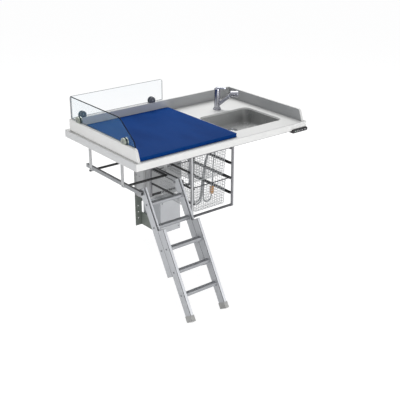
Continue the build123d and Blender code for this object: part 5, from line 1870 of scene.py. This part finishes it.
@dataclass
class Ladder:
    """Rails, carriage and the two ladder sections."""

    sides: tuple = ("left", "right")
    rails: tuple = (
        RailEnds("left", 80.6, 93.6, LEFT, 122.2), RailEnds("right", 388.4, 401.4, RIGHT, 359.8))
    plug_spans: tuple = ((80.6, 88.5), (722.8, 728.2))
    plug_heights: tuple = (-194.3, -175.7)
    plug_bevel: float = 0.8
    strap_screw: float = 4.2
    strap_margin: float = 14.0
    nut_across: float = 15.0
    nut_height: float = 5.5
    nut_bevel: float = 0.8
    washer: tuple = ((0.0, 0.0), (0.0, 0.0098), (0.0012, 0.0098), (0.0012, 0.0))
    stile_lefts: tuple = (100.0, 360.0)
    width: float = 22.0
    upper_span: tuple = (-52.0, 8.0)
    lower_span: tuple = (-112.5, -52.5)
    # Caps of the stiles: name, span of depth, rise of the end, way out and body.
    caps: tuple = (
        ("upper_top", upper_span, 12.0, 1.0, Body.UPPER_LADDER),
        ("upper_foot", upper_span, -552.0, -1.0, Body.UPPER_LADDER),
        ("lower_top", lower_span, -265.0, 1.0, Body.LOWER_LADDER))
    cap_height: float = 2.6
    cap_side: float = 0.2
    cap_end: float = 0.3
    cap_bevel: float = 0.9
    socket_across: float = 6.4
    socket_depth: float = 0.3
    socket_length: float = 0.9
    socket_bevel: float = 0.15

    def build(self, maker: Maker) -> None:
        """Paints the ladder and adds its plugs, caps and nuts, and dark hexagons painted as the
        shade in the studs' sockets.

        Args:
            maker: Frame and finishes.
        """
        maker.paint(Finishes.RAIL, *[f"ladder_rail_{side}" for side in self.sides])
        maker.paint(
            Finishes.HANGER,
            *[f"rail_hanger_{end}_{side}" for end in ("front", "rear") for side in self.sides])
        maker.paint(Finishes.BAR, "rail_spreader_bar", "ladder_carriage_bar")
        maker.paint(Finishes.ARM, *[f"ladder_carriage_arm_{side}" for side in self.sides])
        for section in ("upper", "lower"):
            maker.paint(
                Finishes.LADDER, *[f"ladder_{section}_stile_{side}" for side in self.sides])
            maker.paint(
                Finishes.TREAD, *[f"ladder_{section}_rung_{number}" for number in (1, 2, 3)])
        maker.paint(Finishes.FOOT, *[f"ladder_foot_{side}" for side in self.sides])
        for rail in self.rails:
            self._dress_rail(maker, rail)
        self._caps(maker)
        self._socket_shades(maker)

    def _dress_rail(self, maker: Maker, rail: RailEnds) -> None:
        """Adds the plugs of a rail, its strap screws and the nut of the hinge pin.

        Args:
            maker: Frame and finishes.
            rail: The rail's fittings.
        """
        side, way = rail.side, rail.way
        foot, head = self.plug_heights
        plugs = Form(f"rail_plugs_{side}")
        for near, far in self.plug_spans:
            plugs.block(
                at(rail.low, near, foot), at(rail.high, far, head), self.plug_bevel * MM)
        maker.add(plugs, Finishes.DARK_CAP, Body.TABLE, "rail_aluminium")
        for end in ("front", "rear"):
            low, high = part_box(f"rail_hanger_{end}_{side}")
            edge = low.x if way.x < 0.0 else high.x
            margin = self.strap_margin * MM
            for number, height in ((1, low.z + margin), (2, high.z - margin)):
                place = Vector((edge, (low.y + high.y) / 2, height))
                maker.add(
                    pan_screw(f"strap_screw_{end}_{side}_{number}", place, way, self.strap_screw),
                    Finishes.SCREW, Body.TABLE, "hanger_steel", CRISP)
        centre = at(rail.nut, HINGE_Y, HINGE_Z)
        nut = Form(f"hinge_nut_{side}").prism(
            hexagon(centre, -way, self.nut_across * MM), -way * self.nut_height * MM,
            self.nut_bevel * MM)
        nut.turned(centre, -way, self.washer, 28)
        maker.add(nut, Finishes.SCREW, Body.UPPER_LADDER, "ladder_aluminium", CRISP)

    def _caps(self, maker: Maker) -> None:
        """Adds the plastic caps over the open ends of the stiles.

        Args:
            maker: Frame and finishes.
        """
        for side, left in zip(self.sides, self.stile_lefts):
            near, far = left + self.cap_side, left + self.width - self.cap_side
            for name, span, rise, step, body in self.caps:
                front, rear = span[0] + self.cap_end, span[1] - self.cap_end
                ends = [on_ladder(x, depth, rise) for x, depth in (
                    (near, front), (far, front), (far, rear), (near, rear))]
                up = on_ladder(left, 0.0, rise + step) - on_ladder(left, 0.0, rise)
                cap = Form(f"stile_cap_{name}_{side}").prism(
                    ends, up * self.cap_height, self.cap_bevel * MM)
                maker.add(cap, Finishes.CAP, body, "ladder_aluminium")

    def _socket_shades(self, maker: Maker) -> None:
        """Adds dark hexagons on the heads of the studs that hold the treads, painted as the shade in
        their sockets.

        Args:
            maker: Frame and finishes.
        """
        for section, body in (("upper", Body.UPPER_LADDER), ("lower", Body.LOWER_LADDER)):
            for number in (1, 2, 3):
                low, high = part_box(f"ladder_{section}_rung_{number}")
                middle = (low + high) / 2
                sockets = Form(f"stud_socket_shades_{section}_{number}")
                for edge, way in ((low.x, LEFT), (high.x, RIGHT)):
                    face = Vector((edge, middle.y, middle.z))
                    sockets.prism(
                        hexagon(
                            face - way * self.socket_depth * MM, way, self.socket_across * MM),
                        way * self.socket_length * MM, self.socket_bevel * MM)
                maker.add(sockets, Finishes.GASKET, body, "ladder_aluminium")


@dataclass
class BasketBay:
    """Basket frame and both baskets."""

    post: float = 13.0
    cap_drop: float = 2.4
    cap_inset: float = 0.2
    cap_bevel: float = 0.7

    def build(self, maker: Maker) -> None:
        """Paints the frame, caps its posts and makes the baskets.

        Args:
            maker: Frame and finishes.
        """
        maker.paint(Finishes.POST_LEFT, "basket_frame_left")
        maker.paint(Finishes.POST_RIGHT, "basket_frame_right")
        maker.paint(Finishes.RAIL_DARK, "basket_frame_front_rail")
        maker.paint(Finishes.BAR, "basket_frame_rear_rail")
        post = self.post * MM
        inset = Vector((self.cap_inset * MM, self.cap_inset * MM, 0.0))
        for node in ("basket_frame_left", "basket_frame_right"):
            low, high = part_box(node)
            caps = Form(node + "_caps")
            for y in (low.y, high.y - post):
                start = Vector((low.x, y, low.z - self.cap_drop * MM)) + inset
                caps.block(
                    start, Vector((high.x, y + post, low.z)) - inset, self.cap_bevel * MM)
            maker.add(caps, Finishes.DARK_CAP, Body.TABLE, "basket_frame_grey")
        WireBasket("upper_basket", Body.BASKET_HIGH).build(maker)
        WireBasket("lower_basket", Body.BASKET_LOW).build(maker)


@dataclass(frozen=True)
class Ring:
    """Band round the tap: place on its axis, radius, height, finish and body."""

    name: str
    place: float
    radius: float
    height: float
    finish: object
    body: Body


@dataclass
class Tap:
    """Single-lever tap with a pull-out spray head."""

    x: float = 1090.0
    y: float = 591.0
    turn: float = 35.0
    spout_rise: float = 40.0
    spray_rise: float = 5.0
    start: float = 74.0
    # The foot and body rings take the lit copy of the chrome, a painted highlight.
    body_rings: tuple = (
        Ring("deck_seal", 47.9, 29.2, 0.9, Finishes.GASKET, Body.TABLE),
        Ring("foot_ring", 60.4, 24.0, 1.5, Finishes.CHROME_LIT, Body.TABLE),
        Ring("body_ring", 70.0, 21.0, 2.4, Finishes.CHROME_LIT, Body.TAP),
        Ring("cap_ring", 182.2, 21.0, 1.8, Finishes.GASKET, Body.TAP))
    # The spout and collar rings take the lit copy of the chrome, a painted highlight.
    spout_rings: tuple = (
        Ring("spout_ring", 114.6, 12.5, 3.0, Finishes.CHROME_LIT, Body.TAP),
        Ring("collar_ring", 119.0, 15.0, 2.6, Finishes.CHROME_LIT, Body.SPRAY),
        Ring("collar_groove", 126.0, 15.0, 1.4, Finishes.NOZZLE, Body.SPRAY))
    band_depth: float = 0.8
    band_proud: float = 0.6
    band_edge: float = 0.3
    spray_bend: float = 146.1
    spray_reach: float = 44.0
    nozzle_rim: tuple = (
        (0.0, 0.0), (0.0, 0.0168), (0.0009, 0.0168), (0.0016, 0.0160), (0.0016, 0.0146),
        (0.0006, 0.0142), (0.0006, 0.0))
    rim_rise: float = -0.2
    nozzle_middle: tuple = (
        (0.0, 0.0), (0.0, 0.0066), (0.0009, 0.0064), (0.0012, 0.0056), (0.0008, 0.0046),
        (0.0006, 0.0))
    middle_rise: float = 0.3
    nozzle_plate: tuple = ((0.0, 0.0), (0.0, 0.0143), (0.0004, 0.0141), (0.0004, 0.0))
    plate_rise: float = 0.35
    jet: tuple = ((0.0, 0.0), (0.0, 0.0009), (0.0009, 0.0007), (0.0012, 0.0))
    jet_rise: float = 0.6
    jet_circles: tuple = ((8.6, 10), (11.6, 16))
    switch: tuple = (
        (0.0, 0.0), (0.0, 0.0058), (0.0016, 0.0056), (0.0024, 0.0046), (0.0024, 0.0))
    switch_back: float = 24.0
    switch_out: float = 20.4
    dots: tuple = (("hot", 20.0, Finishes.HOT), ("cold", 50.0, Finishes.COLD))
    dot: tuple = ((0.0, 0.0), (0.0, 0.0021), (0.0004, 0.0021), (0.0006, 0.0015), (0.0006, 0.0))
    dot_height: float = 176.0
    dot_reach: float = 20.8

    def build(self, maker: Maker) -> None:
        """Paints the tap and adds its rings, nozzle plate and marks.

        Args:
            maker: Frame and finishes.
        """
        maker.paint(Finishes.CHROME, "tap_base", "tap_body", "spray_head", "tap_cap")
        # The lever takes the lit copy of the chrome, a painted highlight.
        maker.paint(Finishes.CHROME_LIT, "tap_lever")
        for ring in self.body_rings:
            self._ring(maker, ring, at(self.x, self.y, ring.place), UP)
        for ring in self.spout_rings:
            self._ring(
                maker, ring, self._along(ring.place), self._way(self.turn, self.spout_rise))
        self._nozzle(maker)
        self._marks(maker)

    @staticmethod
    def _way(turn: float, rise: float) -> Vector:
        """Direction out of the tap.

        Args:
            turn: Turn from the front towards the right, in degrees.
            rise: Angle above level, in degrees.

        Returns:
            The direction.
        """
        flat = math.cos(math.radians(rise))
        return Vector((
            flat * math.sin(math.radians(turn)), -flat * math.cos(math.radians(turn)),
            math.sin(math.radians(rise))))

    def _along(self, distance: float) -> Vector:
        """Place on the spout's axis, from its start."""
        way = self._way(self.turn, self.spout_rise)
        return at(self.x, self.y, self.start) + way * distance * MM

    def _band(self, radius: float, height: float) -> list:
        """Profile of a rounded band on a round body.

        Args:
            radius: Radius of the body, in millimetres.
            height: Height of the band, in millimetres.

        Returns:
            The profile, in metres.
        """
        inner, outer = (radius - self.band_depth) * MM, (radius + self.band_proud) * MM
        edge = min(self.band_edge, height / 3) * MM
        return [(0.0, 0.0), (0.0, inner), (0.0, outer - edge), (edge, outer),
                (height * MM - edge, outer), (height * MM, outer - edge), (height * MM, 0.0)]

    def _ring(self, maker: Maker, ring: Ring, place: Vector, way: Vector) -> None:
        """Adds a ring where two of the tap's pieces meet.

        Args:
            maker: Frame and finishes.
            ring: The ring.
            place: Middle of its lower face.
            way: Its axis.
        """
        form = Form("tap_" + ring.name).turned(
            place, way, self._band(ring.radius, ring.height), 48)
        maker.add(form, ring.finish, ring.body, "tap_chrome", CRISP)

    def _nozzle(self, maker: Maker) -> None:
        """Adds the spray head's rim, middle ring, dark plate with its jets, and switch.

        Args:
            maker: Frame and finishes.
        """
        way = self._way(self.turn, self.spray_rise)
        end = self._along(self.spray_bend) + way * self.spray_reach * MM
        # The nozzle rim takes the lit copy of the chrome, a painted highlight.
        rim = Form("nozzle_rim").turned(end + way * self.rim_rise * MM, way, self.nozzle_rim, 56)
        rim.turned(end + way * self.middle_rise * MM, way, self.nozzle_middle, 40)
        maker.add(rim, Finishes.CHROME_LIT, Body.SPRAY, "tap_chrome", CRISP)
        plate = Form("nozzle_plate").turned(
            end + way * self.plate_rise * MM, way, self.nozzle_plate, 56)
        side = way.cross(UP).normalized()
        rise = side.cross(way)
        for radius, count in self.jet_circles:
            for number in range(count):
                angle = 2 * math.pi * number / count
                offset = side * math.cos(angle) + rise * math.sin(angle)
                plate.turned(
                    end + offset * radius * MM + way * self.jet_rise * MM, way, self.jet, 10)
        maker.add(plate, Finishes.NOZZLE, Body.SPRAY, "tap_chrome", CRISP)
        middle = end - way * self.switch_back * MM + rise * self.switch_out * MM
        switch = Form("spray_switch").turned(middle, rise, self.switch, 28)
        maker.add(switch, Finishes.NOZZLE, Body.SPRAY, "tap_chrome", CRISP)

    def _marks(self, maker: Maker) -> None:
        """Adds the red and blue dots under the cap, on both sides of the lever's middle.

        Args:
            maker: Frame and finishes.
        """
        for name, angle, finish in self.dots:
            way = self._way(angle, 0.0)
            place = at(self.x, self.y, self.dot_height) + way * self.dot_reach * MM
            dot = Form("temperature_dot_" + name).turned(place, way, self.dot, 20)
            maker.add(dot, finish, Body.TAP, "tap_chrome")


@dataclass
class ControlPanel:
    """Black panel under the front rim with its two buttons and a lamp."""

    middle: float = -3.5
    lamp: float = 1285.0
    lens_half: tuple = (4.7, 2.7)
    lens_span: tuple = (-12.5, -11.0)
    lens_bevel: float = 0.7
    buttons: tuple = (
        (Body.BUTTON_UP, "up", 1345.0, 1.0), (Body.BUTTON_DOWN, "down", 1373.0, -1.0))
    arrow_y: float = -13.9
    arrow_half: float = 4.2
    arrow_foot: float = 2.6
    arrow_tip: float = 3.4
    arrow_relief: float = 0.45
    arrow_bevel: float = 0.1
    strips: tuple = ((1302.0, 5.0), (1316.0, 9.0), (1330.0, 3.2))
    strip_rows: tuple = (-2.2, 2.2)
    strip_half: float = 0.9
    strip_span: tuple = (-12.35, -11.9)
    strip_bevel: float = 0.1
    screws: tuple = ((1276.0, 22.0, -16.0), (1380.0, 22.0, -16.0))
    screw_radius: float = 3.6

    def build(self, maker: Maker) -> None:
        """Paints the panel and adds its lamp, arrows, strips and screws.

        Args:
            maker: Frame and finishes.
        """
        maker.paint(Finishes.PANEL, "handset_case")
        maker.paint(Finishes.BUTTON, "handset_button_up", "handset_button_down")
        lens = Form("panel_lens")
        self._tile(
            lens, self.lamp, self.middle, self.lens_half, self.lens_span, self.lens_bevel)
        maker.add(lens, Finishes.LENS, Body.TABLE, "panel_black")
        for body, name, x, sign in self.buttons:
            foot = self.middle - self.arrow_foot * sign
            arrow = [at(x - self.arrow_half, self.arrow_y, foot),
                     at(x + self.arrow_half, self.arrow_y, foot),
                     at(x, self.arrow_y, self.middle + self.arrow_tip * sign)]
            form = Form("arrow_" + name).prism(
                arrow, FRONT * (self.arrow_relief * MM), self.arrow_bevel * MM)
            maker.add(form, Finishes.MARK, body, "panel_black")
        strips = Form("panel_strips")
        for x, width in self.strips:
            half = (width / 2, self.strip_half)
            for z in self.strip_rows:
                self._tile(
                    strips, x, self.middle + z, half, self.strip_span, self.strip_bevel)
        maker.add(strips, Finishes.MARK, Body.TABLE, "panel_black")
        for number, place in enumerate(self.screws, 1):
            maker.add(
                pan_screw(f"panel_screw_{number}", at(*place), DOWN, self.screw_radius),
                Finishes.SCREW, Body.TABLE, "panel_black", CRISP)

    @staticmethod
    def _tile(form: Form, x: float, z: float, half: tuple, span: tuple, bevel: float) -> None:
        """Adds a flat block on the panel's face.

        Args:
            form: Form to add to.
            x: Its middle along the wall.
            z: Its middle height.
            half: Half of its width and height.
            span: Its front and rear face.
            bevel: Width of its rounded edges.
        """
        form.block(
            at(x - half[0], span[0], z - half[1]), at(x + half[0], span[1], z + half[1]),
            bevel * MM)


def main() -> None:
    """Builds the studio and every sub-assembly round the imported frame."""
    logging.basicConfig(level=logging.INFO, format="%(name)s: %(message)s")
    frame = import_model()
    finishes = Finishes()
    maker = Maker(frame, finishes)
    Studio().build(finishes)
    for part in (Plumbing(), TopDeck(), Mattress(), Lift(), Ladder(), BasketBay(), Tap(),
                 ControlPanel()):
        part.build(maker)
        LOG.info("%s done, %d pieces so far", type(part).__name__, maker.count)


if __name__ == "__main__":
    main()
